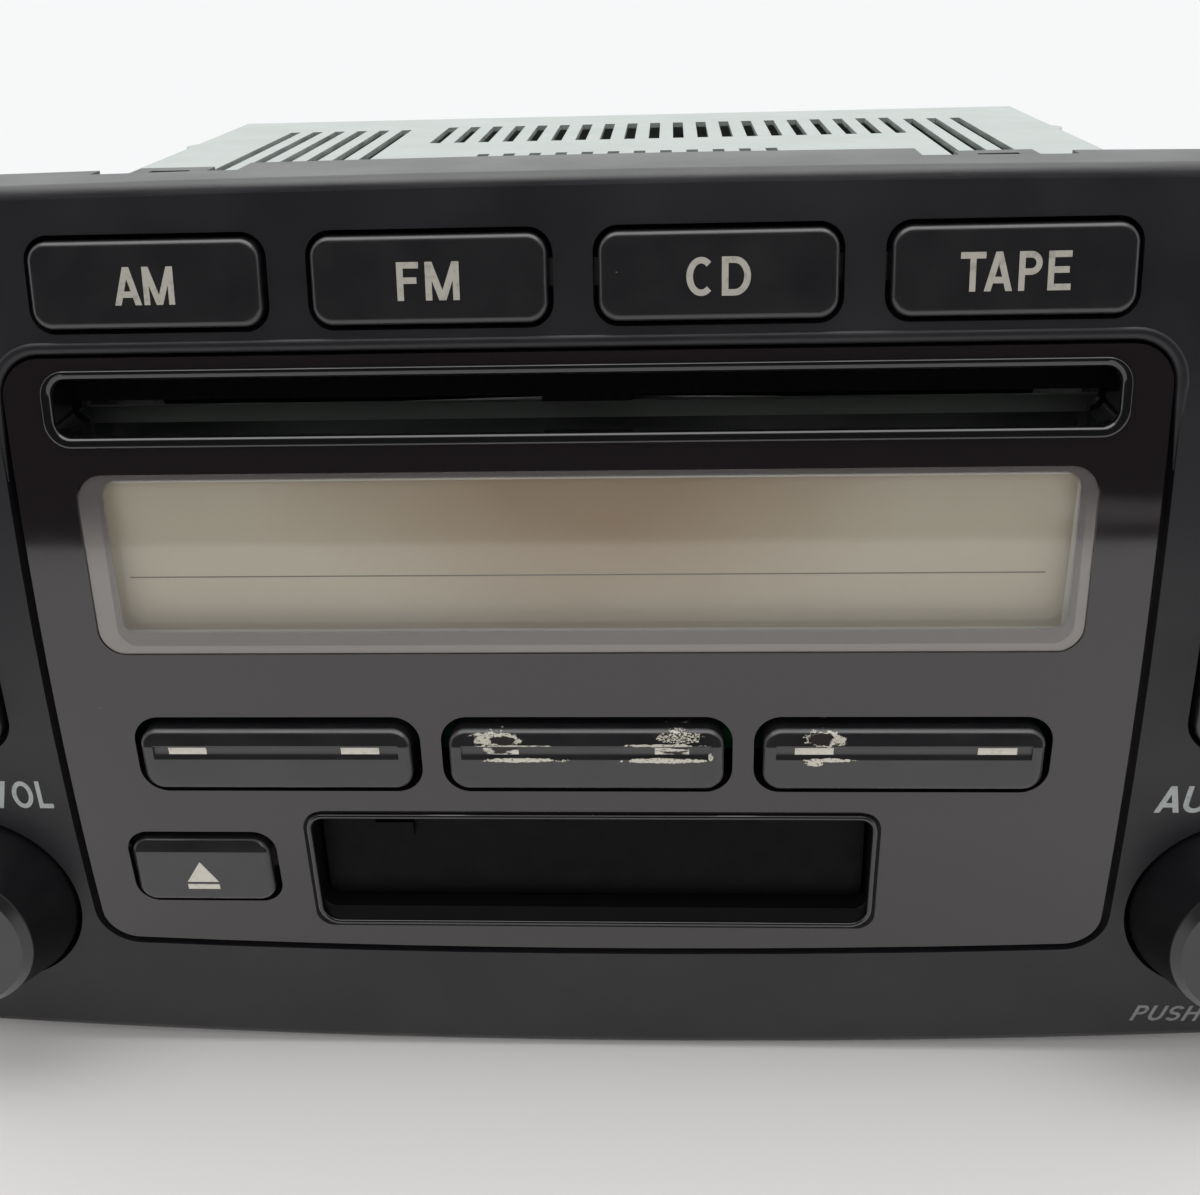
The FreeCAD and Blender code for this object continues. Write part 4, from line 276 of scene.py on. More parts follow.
part_black = start_finish("board_part_bodies", body_colour, 0.50)
lay_grain(part_black, 0.0003, 0.00001, 0.5)
vary_polish(part_black, 0.003, 0.42, 0.60)
part_tin = start_finish("board_part_ends", end_colour, 0.30, 0.9)
vary_polish(part_tin, 0.001, 0.22, 0.45)
for name, size, end, spacing, seed in (
    ("chip_resistors", (0.0020, 0.0016, 0.0006), 0.0005, 0.0062, 4),
    ("flat_packages", (0.0060, 0.0040, 0.0016), 0.0008, 0.0175, 9),
):
    ends = (end, size[1] * end_width, size[2] * end_height)
    for suffix, body, shift, pair, paint in (
        ("", size, (0.0, 0.0, size[2] / 2), False, part_black),
        ("_ends", ends, ((size[0] + end) / 2, 0.0, ends[2] / 2), True, part_tin),
    ):
        show(name + suffix, grow(
            strewn, name, free_board(), Spacing=spacing, Seed=seed, Body=body, Shift=shift, Pair=pair,
            Paint=paint,
        ), paint, "root")

# Tuner module: a screening can folded from tinned steel sheet, closed with a lid and soldered to the
# main board.

tin_colour = (0.60, 0.60, 0.58)
tuner_tin = start_finish("tinned_can", tin_colour, 0.30, 0.9)
vary_polish(tuner_tin, 0.004, 0.22, 0.42)
lay_grain(tuner_tin, 0.008, 0.00008, 0.4)
dress(tuner_tin, "tuner_module")

# Filter capacitors: three drawn aluminium cans soldered upright to the main board, each in a shrunk-on
# dark blue sleeve that leaves its top bare.

sleeve_colour, bare_colour, bare_rim = (0.012, 0.020, 0.060), (0.62, 0.62, 0.62), 0.0002
can_sleeve = start_finish("capacitor_sleeve", sleeve_colour, 0.28)
lay_grain(can_sleeve, 0.003, 0.00005, 0.3)
vary_polish(can_sleeve, 0.002, 0.22, 0.38)


def place_along(finish, axis):
    """One of the piece's own coordinates, in metres."""
    return put(finish.node_tree, "ShaderNodeSeparateXYZ", Vector=own_spot(finish)).node.outputs[axis]


def reckon(finish, rule, *terms):
    """One sum on values or textures."""
    return put(finish.node_tree, "ShaderNodeMath", {"operation": rule}, *terms)


def tint(finish, share, colour):
    """Lay a colour over the base colour where share is 1."""
    base = shader_of(finish).inputs["Base Color"]
    under = base.links[0].from_socket if base.is_linked else base.default_value
    over = (*colour, 1.0)
    mixed = put(finish.node_tree, "ShaderNodeMix", {"data_type": "RGBA"}, Factor=share, A=under, B=over)
    fill(shader_of(finish), Base_Color=mixed)


sleeve_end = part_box("filter_capacitors")[1].z - bare_rim
bare_top = reckon(can_sleeve, "GREATER_THAN", place_along(can_sleeve, "Z"), sleeve_end)
tint(can_sleeve, bare_top, bare_colour)
fill(shader_of(can_sleeve), Metallic=bare_top)
dress(can_sleeve, "filter_capacitors")

# Power amplifier: one long package moulded in black epoxy, clamped to the rear panel. Its tinned legs
# go down into the main board.

epoxy_black = (0.018, 0.018, 0.020)
chip_black = start_finish("moulded_epoxy", epoxy_black, 0.55)
lay_grain(chip_black, 0.0004, 0.00002, 0.6)
vary_polish(chip_black, 0.005, 0.45, 0.65)
dress(chip_black, "power_amplifier")

# Disc deck and tape deck: frames pressed from bright steel sheet, with their motors' drawn cans
# screwed to them.

deck_colour, deck_dull, deck_spangle = (0.50, 0.50, 0.49), (0.45, 0.45, 0.44), 0.003
deck_steel = plated_steel("pressed_deck_steel", deck_colour, deck_dull, deck_spangle)
dress(deck_steel, "cd_deck_frame", "tape_deck_frame", "cd_spindle_motor", "tape_motor")

# Ground steel: the lead screw, the capstans and the two knob shafts, turned from bar and bright from
# the grinding wheel.

ground_colour = (0.62, 0.62, 0.63)
ground_steel = start_finish("ground_steel", ground_colour, 0.16, 1.0)
vary_polish(ground_steel, 0.002, 0.10, 0.26)
emboss(ground_steel, lay_noise(ground_steel, 0.0004, (1.0, 0.1, 1.0)), 0.00001, 0.4)
dress(ground_steel, "cd_lead_screw", "capstan_front", "capstan_back", "volume_shaft", "audio_shaft")

# Acetal parts: turntable, clamper, reel spindles, belt pulley and the sleeves of the push knobs,
# injection moulded in milky white.

acetal_colour, acetal_shade = (0.72, 0.72, 0.67), (0.62, 0.61, 0.55)
acetal = start_finish("milky_acetal", acetal_colour, 0.38)
fill(shader_of(acetal), Subsurface_Weight=0.15, Subsurface_Scale=0.001)
mottle(acetal, 0.006, acetal_shade, acetal_colour)
lay_grain(acetal, 0.0006, 0.00001, 0.5)
dress(
    acetal, "cd_turntable", "cd_clamper", "tape_motor_pulley", "reel_spindle_front", "reel_spindle_back",
    "volume_plunger", "audio_plunger",
)

# Rubber parts: the roller that draws a disc in, and the four soft mounts that carry the disc deck,
# moulded in black rubber that dust clings to.

rubber_colour, rubber_dusty = (0.028, 0.027, 0.027), (0.060, 0.057, 0.054)
soft_rubber = start_finish("soft_rubber", rubber_colour, 0.75)
mottle(soft_rubber, 0.002, rubber_colour, rubber_dusty, 0.45, 0.75)
lay_grain(soft_rubber, 0.0003, 0.00003, 0.8)
dress(soft_rubber, "cd_loading_roller", "cd_deck_dampers")

# Tape head: a small drawn metal shell on a sliding plate, lapped and polished where the tape runs
# over it.

head_colour = (0.64, 0.62, 0.58)
head_metal = start_finish("polished_head_shell", head_colour, 0.15, 1.0)
vary_roughness(head_metal, lay_noise(head_metal, 0.001, (1.0, 1.0, 0.1)), 0.08, 0.28)
dress(head_metal, "tape_head")

# Moulded black parts: the laser sled on its screw, and the encoders and push switches soldered to the
# front board behind the keys.

switch_colour = (0.022, 0.022, 0.025)
switch_black = start_finish("black_switch_moulding", switch_colour, 0.48)
vary_polish(switch_black, 0.003, 0.40, 0.58)
lay_grain(switch_black, 0.0004, 0.00001, 0.6)
dress(switch_black, "cd_laser_sled", "volume_encoder", "audio_encoder", "key_switches")

# Cover: one galvanised sheet, pale grey-green, with pressed vent slots, folded down over the tray's
# sides and screwed to them.

cover_colour, cover_dull, cover_spangle = (0.60, 0.65, 0.62), (0.57, 0.617, 0.588), 0.008
cover_steel = plated_steel("galvanised_cover", cover_colour, cover_dull, cover_spangle)
dress(cover_steel, "top_cover")

# Spring lugs: a small half-round tongue pressed out of the sheet at each side edge of the cover, near
# its middle.

lug_y, lug_radius, lug_wall, lug_reach = 0.0500, 0.0030, 0.0008, 0.0016
lug_root, lug_sunk, lug_steps = 0.0004, 0.0001, 12
cover_low, cover_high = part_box("top_cover")


def lug(name, side):
    """A half-round tongue lying level with the cover's top at one side."""
    edge = cover_high.x if side > 0 else cover_low.x
    rim = [(edge - side * lug_root, lug_y - lug_radius)]
    for step in range(lug_steps + 1):
        angle = math.pi * (step / lug_steps - 0.5)
        rim.append((edge + side * lug_reach * math.cos(angle), lug_y + lug_radius * math.sin(angle)))
    rim.append((edge - side * lug_root, lug_y + lug_radius))
    rim = rim[::side]
    spots = [(x, y, cover_high.z - drop) for drop in (lug_sunk, lug_wall) for x, y in rim]
    count = len(rim)
    faces = [list(range(count)), list(range(2 * count - 1, count - 1, -1))]
    faces += [(a, a + count, (a + 1) % count + count, (a + 1) % count) for a in range(count)]
    return shape(name, spots, faces)


for name, side in (("cover_lug_left", -1), ("cover_lug_right", 1)):
    show(name, lug(name, side), cover_steel, "root")

# Case screws and the locating stud: cold headed steel, zinc plated and slightly dulled in the recesses,
# driven into the tray and the rear panel.

screw_colour = (0.46, 0.46, 0.45)
screw_steel = start_finish("plated_screws", screw_colour, 0.30, 0.9)
vary_polish(screw_steel, 0.001, 0.22, 0.45)
lay_grain(screw_steel, 0.0005, 0.00002, 0.5)
dress(screw_steel, "case_screws", "locating_stud")

# Heat sink: an aluminium extrusion with upright fins and the draw lines of its die, bolted through the
# rear panel to the amplifier.

sink_colour = (0.62, 0.62, 0.63)
sink_aluminium = start_finish("extruded_aluminium", sink_colour, 0.38, 0.9)
draw_lines = lay_noise(sink_aluminium, 0.0008, (1.0, 1.0, 0.02))
vary_roughness(sink_aluminium, draw_lines, 0.30, 0.50)
emboss(sink_aluminium, draw_lines, 0.00003, 0.5)
dress(sink_aluminium, "heat_sink")

# Harness socket and link connector: injection moulded in natural nylon, slightly yellowed, and
# soldered to the boards by their pins.

nylon_colour, nylon_aged = (0.60, 0.58, 0.50), (0.55, 0.51, 0.40)
connector_nylon = start_finish("natural_nylon", nylon_colour, 0.45)
mottle(connector_nylon, 0.010, nylon_aged, nylon_colour)
lay_grain(connector_nylon, 0.0007, 0.00001, 0.6)
dress(connector_nylon, "harness_socket", "link_connector")

# Harness pins: two rows of eight tinned brass pins with tapered tips, cropped from wire and pressed
# into the floor of the harness socket.

pin_colour, pin_sides, pin_pitch, pin_rows_apart = (0.60, 0.57, 0.46), 20, 0.005125, 0.00566
pin_radius, pin_length, pin_tip, pin_point = 0.00055, 0.0101, 0.0006, 0.0002
pin_middle, just_half = (0.0430, 0.08355, 0.0721), 0.4999

pins, given = start_tree(
    "pin_rows", Base="Geometry", Columns="Int", Rows="Int", Width="Float", Height="Float", Radius="Float",
    Length="Float", Tip="Float", Point="Float", Place="Vector", Metal="Material",
)
rows = put(
    pins, "GeometryNodeMeshGrid", Size_X=given["Width"], Size_Y=given["Height"],
    Vertices_X=given["Columns"], Vertices_Y=given["Rows"],
)
shank = put(pins, "GeometryNodeMeshCylinder", Vertices=pin_sides, Radius=given["Radius"], Depth=given["Length"])
point = put(
    pins, "GeometryNodeMeshCone", Vertices=pin_sides, Radius_Top=given["Point"], Radius_Bottom=given["Radius"],
    Depth=given["Tip"],
)
half = put(pins, "ShaderNodeMath", {"operation": "MULTIPLY"}, given["Length"], just_half)
lift = put(pins, "ShaderNodeCombineXYZ", Z=half)
raised = put(pins, "GeometryNodeTransform", Geometry=point, Translation=lift)
pin = put(pins, "GeometryNodeJoinGeometry", Geometry=[shank, raised])
field = put(pins, "GeometryNodeInstanceOnPoints", Points=rows, Instance=pin)
lying = (-math.pi / 2, 0.0, 0.0)
stood = put(pins, "GeometryNodeTransform", Geometry=field, Translation=given["Place"], Rotation=lying)
end_tree(pins, stood, given["Metal"])

pin_metal = start_finish("tinned_brass", pin_colour, 0.24, 1.0)
vary_polish(pin_metal, 0.0010, 0.16, 0.34)
show("harness_pins", grow(
    pins, "harness_pins", bpy.data.meshes.new("no_base"), Columns=8, Rows=2, Width=7 * pin_pitch,
    Height=pin_rows_apart, Radius=pin_radius, Length=pin_length, Tip=pin_tip, Point=pin_point, Place=pin_middle,
    Metal=pin_metal,
), pin_metal, "root")

# Antenna socket: a barrel turned from bar and nickel plated, fixed in the rear panel. The plug of the
# car's antenna lead goes into its bore.

nickel_colour = (0.66, 0.64, 0.58)
socket_metal = start_finish("nickel_plate", nickel_colour, 0.22, 1.0)
vary_polish(socket_metal, 0.0015, 0.16, 0.34)
dress(socket_metal, "antenna_socket")

# Display: liquid crystal glass, beige when off, in a white holder over a milky light guide. Near its
# middle the back film has browned, and one hairline runs across it.

glass_beige, glass_brown = (0.475, 0.44, 0.37), (0.33, 0.255, 0.185)
brown_half, brown_rise, brown_up = 0.040, 0.026, 0.012
glass_low, glass_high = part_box("lcd_panel")
glass_middle = (glass_low + glass_high) / 2
lcd_glass = start_finish("liquid_crystal_glass", glass_beige, 0.30)
browning = lay_texture(
    lcd_glass, "ShaderNodeTexGradient", (1 / brown_half, 0.0, 1 / brown_rise),
    (-glass_middle.x / brown_half, 0.0, -(glass_middle.z + brown_up) / brown_rise),
)
browning.node.gradient_type = "SPHERICAL"
patchy = reckon(lcd_glass, "MULTIPLY_ADD", lay_noise(lcd_glass, 0.030, detail=2.0), 0.5, -0.25)
vary_colour(lcd_glass, reckon(lcd_glass, "ADD", browning, patchy), glass_beige, glass_brown, 0.0, 0.75)
dress(lcd_glass, "lcd_panel")

milky_colour = (0.78, 0.78, 0.74)
light_guide = start_finish("milky_light_guide", milky_colour, 0.30)
lay_grain(light_guide, 0.0005, 0.00001, 0.5)
dress(light_guide, "light_guide")

holder_colour = (0.66, 0.66, 0.63)
white_plastic = start_finish("white_holder_plastic", holder_colour, 0.45)
vary_polish(white_plastic, 0.004, 0.38, 0.55)
dress(white_plastic, "display_holder")


def strip(name, x_span, y_span, z_span, finish, body):
    """A small rectangular piece."""
    corners = [(x, y, z) for x in x_span for y in y_span for z in z_span]
    sides = [(0, 1, 3, 2), (4, 6, 7, 5), (0, 4, 5, 1), (2, 3, 7, 6), (0, 2, 6, 4), (1, 5, 7, 3)]
    return show(name, shape(name, corners, sides), finish, body)


hairline_z, hairline_width, hairline_film, hairline_sunk = 0.0746, 0.00017, 0.00002, 0.0001
hairline_left, hairline_right = glass_low.x + 0.0020, glass_high.x - 0.0026
hairline_colour = (0.14, 0.13, 0.10)
hairline = start_finish("glass_hairline", hairline_colour, 0.4)
vary_polish(hairline, 0.002, 0.35, 0.5)
strip(
    "display_hairline", (hairline_left, hairline_right),
    (glass_low.y - hairline_film, glass_low.y + hairline_sunk),
    (hairline_z - hairline_width / 2, hairline_z + hairline_width / 2), hairline, "root",
)

# Foam seal: a strip of black foam glued along the front board's top edge. It fills the space up to the
# bezel's top skirt, so that no light leaks round the source keys.

foam_colour, foam_worn = (0.0060, 0.0060, 0.0065), (0.0110, 0.0110, 0.0115)
foam_half, foam_top, foam_inset = 0.0660, 0.1192, 0.0001
board_low, board_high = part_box("front_circuit_board")
black_foam = start_finish("black_foam", foam_colour, 0.95)
fill(shader_of(black_foam), Specular_IOR_Level=0.1)
mottle(black_foam, 0.0008, foam_colour, foam_worn)
lay_grain(black_foam, 0.0003, 0.0001, 0.8)
strip(
    "key_foam_seal", (-foam_half, foam_half), (board_low.y + foam_inset, board_high.y - foam_inset),
    (board_high.z, foam_top), black_foam, "root",
)

# Display window: clear plastic flush with the centre panel, its border frosted in two steps: the outer one is
# the frost, the darker inner one is painted shade, and the frost is painted darker towards its top. The face it
# follows is an arc seen from the side.

bulge_height, face_radius = 0.0509, 0.3333
face_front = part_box("front_bezel")[0].y


def face_y(z):
    """How far back the curved face lies at a height."""
    return face_front + face_radius - math.sqrt(face_radius ** 2 - (z - bulge_height) ** 2)


clear_tint, clear_polish = (0.95, 0.945, 0.93, 1.0), 0.05
clear_reflection, edge_reflection, edge_power = 0.045, 0.90, 5.0
window_plastic = start_finish("clear_window_plastic", (0.02, 0.02, 0.02), clear_polish)
window_tree = window_plastic.node_tree
window_tree.nodes.remove(shader_of(window_plastic))
clear = put(window_tree, "ShaderNodeBsdfTransparent", Color=clear_tint)
gloss = put(window_tree, "ShaderNodeBsdfGlossy", Roughness=clear_polish)
facing = put(window_tree, "ShaderNodeLayerWeight", Blend=0.5).node.outputs["Facing"]
glance = reckon(window_plastic, "POWER", facing, edge_power)
glance = reckon(window_plastic, "MULTIPLY_ADD", glance, edge_reflection, clear_reflection)
both = put(window_tree, "ShaderNodeMixShader", None, glance, clear, gloss)
fill(window_tree.nodes["Material Output"], Surface=both)
dress(window_plastic, "display_lens")


def inside_box(finish, middle, half, radius, soft):
    """1 inside a rounded box seen from the front, 0 outside, over a soft edge."""
    span = own_spot(finish)
    for rule, term in (
        ("SUBTRACT", (middle[0], 0.0, middle[1])), ("ABSOLUTE", None),
        ("SUBTRACT", (half[0] - radius, 0.0, half[1] - radius)), ("MAXIMUM", (0.0, 0.0, 0.0)),
        ("MULTIPLY", (1.0, 0.0, 1.0)), ("LENGTH", None),
    ):
        span = put(finish.node_tree, "ShaderNodeVectorMath", {"operation": rule}, span, term)
    return spread(finish, span, radius - soft, radius, 1.0, 0.0, "SMOOTHSTEP")


window_low, window_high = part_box("display_lens")
window_middle = (window_low + window_high) / 2
window_corner, window_gap, border_rows = 0.0033, 0.0001, 24
frost_depth, step_soft, view_soft = 0.00025, 0.0002, 0.0004
step_middle, step_half, step_corner = (0.0006, 0.07765), (0.0587, 0.0110), 0.0026
view_middle, view_half, view_corner = (0.0005, 0.0783), (0.05805, 0.0099), 0.0021
# Border colours: the frost itself, then a painted shade for its inner step and a painted shade for its top,
# which sets in between the two heights below.
frost_outer, frost_shaded_inner, frost_painted_shade = (0.250, 0.236, 0.232), (0.165, 0.158, 0.157), (0.085, 0.077, 0.080)
painted_shade_from, painted_shade_to = 0.0755, 0.0868

frost = start_finish("frosted_window_border_painted_shade", frost_outer, 0.45)
# Painted shade: the inner step next to the opening is darker, as shade along the window's recessed inner edge.
tint(frost, inside_box(frost, step_middle, step_half, step_corner, step_soft), frost_shaded_inner)
# Painted shade: the border darkens towards its top and stays lighter lower down, as light falls on it.
tint(frost, spread(frost, place_along(frost, "Z"), painted_shade_from, painted_shade_to, curve="SMOOTHSTEP"), frost_painted_shade)
vary_polish(frost, 0.001, 0.4, 0.55)
bare = inside_box(frost, view_middle, view_half, view_corner, view_soft)
fill(shader_of(frost), Alpha=reckon(frost, "SUBTRACT", 1.0, bare))

half_width = (window_high.x - window_low.x) / 2 - window_gap
half_height = (window_high.z - window_low.z) / 2
spots = []
for row in range(border_rows + 1):
    turn = math.pi * row / border_rows
    z = window_middle.z - math.cos(turn) * (half_height - window_gap)
    past = max(abs(z - window_middle.z) - (half_height - window_corner), 0.0)
    reach = half_width - window_corner + math.sqrt(max(window_corner ** 2 - past ** 2, 0.0))
    spots += [(side * reach, face_y(z) + frost_depth, z) for side in (-1, 1)]
rows = [(2 * row, 2 * row + 1, 2 * row + 3, 2 * row + 2) for row in range(border_rows)]
show("display_window_border", shape("window_border", spots, rows), frost, "root").visible_shadow = False

# Bezel: one large moulding in near-black plastic with a fine grain, rubbed smoother by hands, with
# dust specks, a pale tint on its top face that is part film of dust and part painted highlight, and a rolled
# ridge along the top of the panel's opening.

bezel_colour, bezel_rubbed = (0.0100, 0.0092, 0.0118), (0.0140, 0.0130, 0.0155)
# Dust specks, and a pale tint for the top face that is partly a film of dust and partly a painted highlight
# where the top catches the light.
dust_colour, top_dust_and_highlight_colour = (0.16, 0.155, 0.15), (0.130, 0.132, 0.130)
top_tint_from, top_tint_to = 0.1209, 0.1216


def strew_dust(finish, pitch, radius, share):
    """Specks of dust: one to each cell of about the pitch, kept in only a share of the cells."""
    cell = lay_texture(finish, "ShaderNodeTexVoronoi", Scale=1.0 / pitch)
    near = reckon(finish, "LESS_THAN", cell, radius / pitch)
    lot = put(finish.node_tree, "ShaderNodeSeparateColor", Color=cell.node.outputs["Color"])
    kept = reckon(finish, "LESS_THAN", lot, share)
    tint(finish, reckon(finish, "MULTIPLY", near, kept), dust_colour)


bezel_plastic = start_finish("grained_bezel_plastic", bezel_colour, 0.5)
mottle(bezel_plastic, 0.020, bezel_colour, bezel_rubbed)
vary_polish(bezel_plastic, 0.012, 0.36, 0.46)
emboss(bezel_plastic, lay_noise(bezel_plastic, 0.00035, detail=2.0), 0.00003, 0.5)
strew_dust(bezel_plastic, 0.006, 0.00007, 0.25)
# Painted highlight with a film of dust: above these heights the top face is tinted pale, in patches.
top_dust_and_highlight = spread(bezel_plastic, place_along(bezel_plastic, "Z"), top_tint_from, top_tint_to, curve="SMOOTHSTEP")
top_tint_patches = reckon(bezel_plastic, "MULTIPLY_ADD", lay_noise(bezel_plastic, 0.006), 0.4, 0.45)
tint(bezel_plastic, reckon(bezel_plastic, "MULTIPLY", top_dust_and_highlight, top_tint_patches), top_dust_and_highlight_colour)
dress(bezel_plastic, "front_bezel")

ridge_radius, ridge_lift, ridge_foot, ridge_turns, ridge_end = 0.00085, 0.00030, 0.0880, 10, 0.15
opening_half, opening_top, opening_corner = 0.06875, 0.1037, 0.0058


def bead(name, spots, radii, finish, body):
    """A rounded bead along a line of spots, with its own radius at each."""
    line = bpy.data.curves.new(name, "CURVE")
    line.dimensions = "3D"
    line.bevel_depth = 1.0
    line.bevel_resolution = 4
    line.use_fill_caps = True
    run = line.splines.new("POLY")
    run.points.add(len(spots) - 1)
    for point, spot, radius in zip(run.points, spots, radii):
        point.co = (*spot, 1.0)
        point.radius = radius
    proof = set_out("proof", line)
    mesh = bpy.data.meshes.new_from_object(proof.evaluated_get(bpy.context.evaluated_depsgraph_get()))
    bpy.data.objects.remove(proof)
    for face in mesh.polygons:
        face.use_smooth = True
    return show(name, mesh, finish, body)


outline = [(-opening_half, ridge_foot)]
for turn in range(ridge_turns + 1):
    angle = math.pi - turn * math.pi / 2 / ridge_turns
    outline.append((
        -opening_half + opening_corner + opening_corner * math.cos(angle),
        opening_top - opening_corner + opening_corner * math.sin(angle),
    ))
outline += [(x / 1000, opening_top) for x in range(-60, 1, 6)]
outline += [(-x, z) for x, z in reversed(outline[:-1])]
taper = [ridge_end, *[1.0] * (len(outline) - 2), ridge_end]
bead(
    "bezel_ridge", [(x, face_y(z) + ridge_radius - ridge_lift, z) for x, z in outline],
    [ridge_radius * share for share in taper], bezel_plastic, "root",
)

# Centre panel: a smooth black moulding with a clear gloss coat, set into the bezel's opening, with
# fine dust on it.

panel_colour = (0.0095, 0.0072, 0.0082)
panel_plastic = start_finish("glossy_panel_plastic", panel_colour, 0.09)
fill(shader_of(panel_plastic), Coat_Weight=1.0, Coat_Roughness=0.07)
vary_polish(panel_plastic, 0.010, 0.08, 0.13)
strew_dust(panel_plastic, 0.007, 0.00008, 0.30)
dress(panel_plastic, "centre_panel")

# Slot frames: two black mouldings snapped in round the slots, glossy round the disc slot and satin
# round the cassette slot, with a glossy bead along its mouth.

rim_colour = (0.0050, 0.0048, 0.0055)
rim_plastic = start_finish("glossy_slot_frame", rim_colour, 0.12)
fill(shader_of(rim_plastic), Coat_Weight=1.0, Coat_Roughness=0.10)
vary_polish(rim_plastic, 0.004, 0.10, 0.18)
strew_dust(rim_plastic, 0.004, 0.00007, 0.3)
dress(rim_plastic, "cd_slot_frame")

satin_colour = (0.0042, 0.0040, 0.0046)
satin_rim = start_finish("satin_slot_frame", satin_colour, 0.40)
fill(shader_of(satin_rim), Specular_IOR_Level=0.12)
vary_polish(satin_rim, 0.003, 0.34, 0.48)
lay_grain(satin_rim, 0.0006, 0.00001, 0.4)
dress(satin_rim, "cassette_slot_frame")

lip_radius, lip_proud, lip_turns = 0.00034, 0.00030, 8
lip_half, lip_low, lip_top = 0.03698, 0.02452, 0.04218
lip_upper_corner, lip_lower_corner = 0.0020, 0.0026
lip = []
for start, side, level, corner, rise in (
    (0, 1, lip_top, lip_upper_corner, -1), (90, -1, lip_top, lip_upper_corner, -1),
    (180, -1, lip_low, lip_lower_corner, 1), (270, 1, lip_low, lip_lower_corner, 1),
):
    for turn in range(lip_turns + 1):
        angle = math.radians(start + 90 * turn / lip_turns)
        across = side * (lip_half - corner) + corner * math.cos(angle)
        lip.append((across, level + rise * corner + corner * math.sin(angle)))
lip.append(lip[0])
bead(
    "cassette_slot_lip", [(x, face_y(z) - lip_proud, z) for x, z in lip],
    [lip_radius] * len(lip), rim_plastic, "root",
)

# Cassette door: a flap moulded in dark satin plastic with two hinge pins, hung at the top of its slot.
# A cassette pushes it inwards.

door_colour = (0.0030, 0.0029, 0.0034)
door_plastic = start_finish("dark_door_plastic", door_colour, 0.45)
fill(shader_of(door_plastic), Specular_IOR_Level=0.10)
vary_polish(door_plastic, 0.003, 0.38, 0.52)
lay_grain(door_plastic, 0.0006, 0.00001, 0.4)
dress(door_plastic, "cassette_door")

# Disc shutter: a thin plate covered with black flocking, hanging inside the disc slot to keep dust
# out.

flock_colour, flock_light = (0.0012, 0.0012, 0.0013), (0.0026, 0.0026, 0.0028)
felt_black = start_finish("black_flocking", flock_colour, 0.95)
fill(shader_of(felt_black), Specular_IOR_Level=0.1)
mottle(felt_black, 0.0006, flock_colour, flock_light)
lay_grain(felt_black, 0.0002, 0.00008, 0.8)
dress(felt_black, "cd_shutter")

# Keys: the source buttons, preset rockers, side rockers and eject button, moulded in black and
# polished by fingers, so their rounded edges shine.

key_colour, key_worn = (0.0080, 0.0076, 0.0092), (0.0110, 0.0104, 0.0120)
eject_lean, eject_slope = 0.0019, 0.32
preset_start, preset_slope = 0.0533, 0.36


def key_finish(name):
    """Black key plastic with a polished skin, fine wear and a little dust."""
    finish = start_finish(name, key_colour, 0.34)
    fill(shader_of(finish), Coat_Weight=1.0, Coat_Roughness=0.24)
    mottle(finish, 0.006, key_colour, key_worn)
    vary_polish(finish, 0.005, 0.30, 0.42)
    lay_grain(finish, 0.0008, 0.000006, 0.4)
    strew_dust(finish, 0.004, 0.00007, 0.25)
    return finish


def roll_back(finish, start, slope):
    """Lean the surface and its skin back above a height, so that they turn away from the table."""
    past = reckon(finish, "MAXIMUM", reckon(finish, "SUBTRACT", place_along(finish, "Z"), start), 0.0)
    emboss(finish, reckon(finish, "MULTIPLY", past, -slope), 1.0)
    fill(shader_of(finish), Coat_Normal=shader_of(finish).inputs["Normal"].links[0].from_socket)


key_plastic = key_finish("polished_key_plastic")
dress(key_plastic, "button_am", "button_fm", "button_cd", "button_tape")
dress(key_plastic, "side_rocker_left", "side_rocker_right")

eject_plastic = key_finish("polished_eject_plastic")
roll_back(eject_plastic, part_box("eject_button")[1].z - eject_lean, eject_slope)
dress(eject_plastic, "eject_button")

left_key = key_finish("polished_preset_plastic")
roll_back(left_key, preset_start, preset_slope)
dress(left_key, "preset_rocker_left")

# Worn presets: fingernails have scraped the black off the middle rocker's ends and the right rocker's
# left end, down to cream, with the brown core bared in the deepest spots.

scraped_cream, bared_brown = (0.52, 0.50, 0.42), (0.024, 0.018, 0.018)
scraped_within, bared_within, chip_size, chip_stretch = 0.80, 0.85, 0.0011, (1.0, 1.0, 1.6)


def scrape(finish, middle, half, ragged, core=None, gaps=0.40):
    """A ragged patch of cream round a middle (x, z), half as wide and high as given, in millimetres."""

    def reach_from(centre, span):
        tree, scale = finish.node_tree, (1000 / span[0], 0.0, 1000 / span[1])
        shift = (-centre[0] / span[0], 0.0, -centre[1] / span[1])
        fitted = put(tree, "ShaderNodeMapping", Vector=own_spot(finish), Scale=scale, Location=shift)
        return put(tree, "ShaderNodeVectorMath", {"operation": "LENGTH"}, fitted)

    chips = lay_noise(finish, chip_size, chip_stretch, 8.0, 0.7)
    rough = reckon(finish, "MULTIPLY_ADD", chips, 2 * ragged, -ragged)
    edge = reckon(finish, "ADD", reach_from(middle, half), rough)
    share = reckon(finish, "LESS_THAN", edge, scraped_within)
    left_on = reckon(finish, "GREATER_THAN", lay_noise(finish, chip_size / 3, chip_stretch, 3.0), gaps)
    share = reckon(finish, "MULTIPLY", share, left_on)
    if core:
        inner = reckon(finish, "ADD", reach_from(*core), reckon(finish, "MULTIPLY", rough, 0.8))
        kept = reckon(finish, "GREATER_THAN", inner, bared_within)
        tint(finish, share, bared_brown)
        share = reckon(finish, "MULTIPLY", share, kept)
    tint(finish, share, scraped_cream)


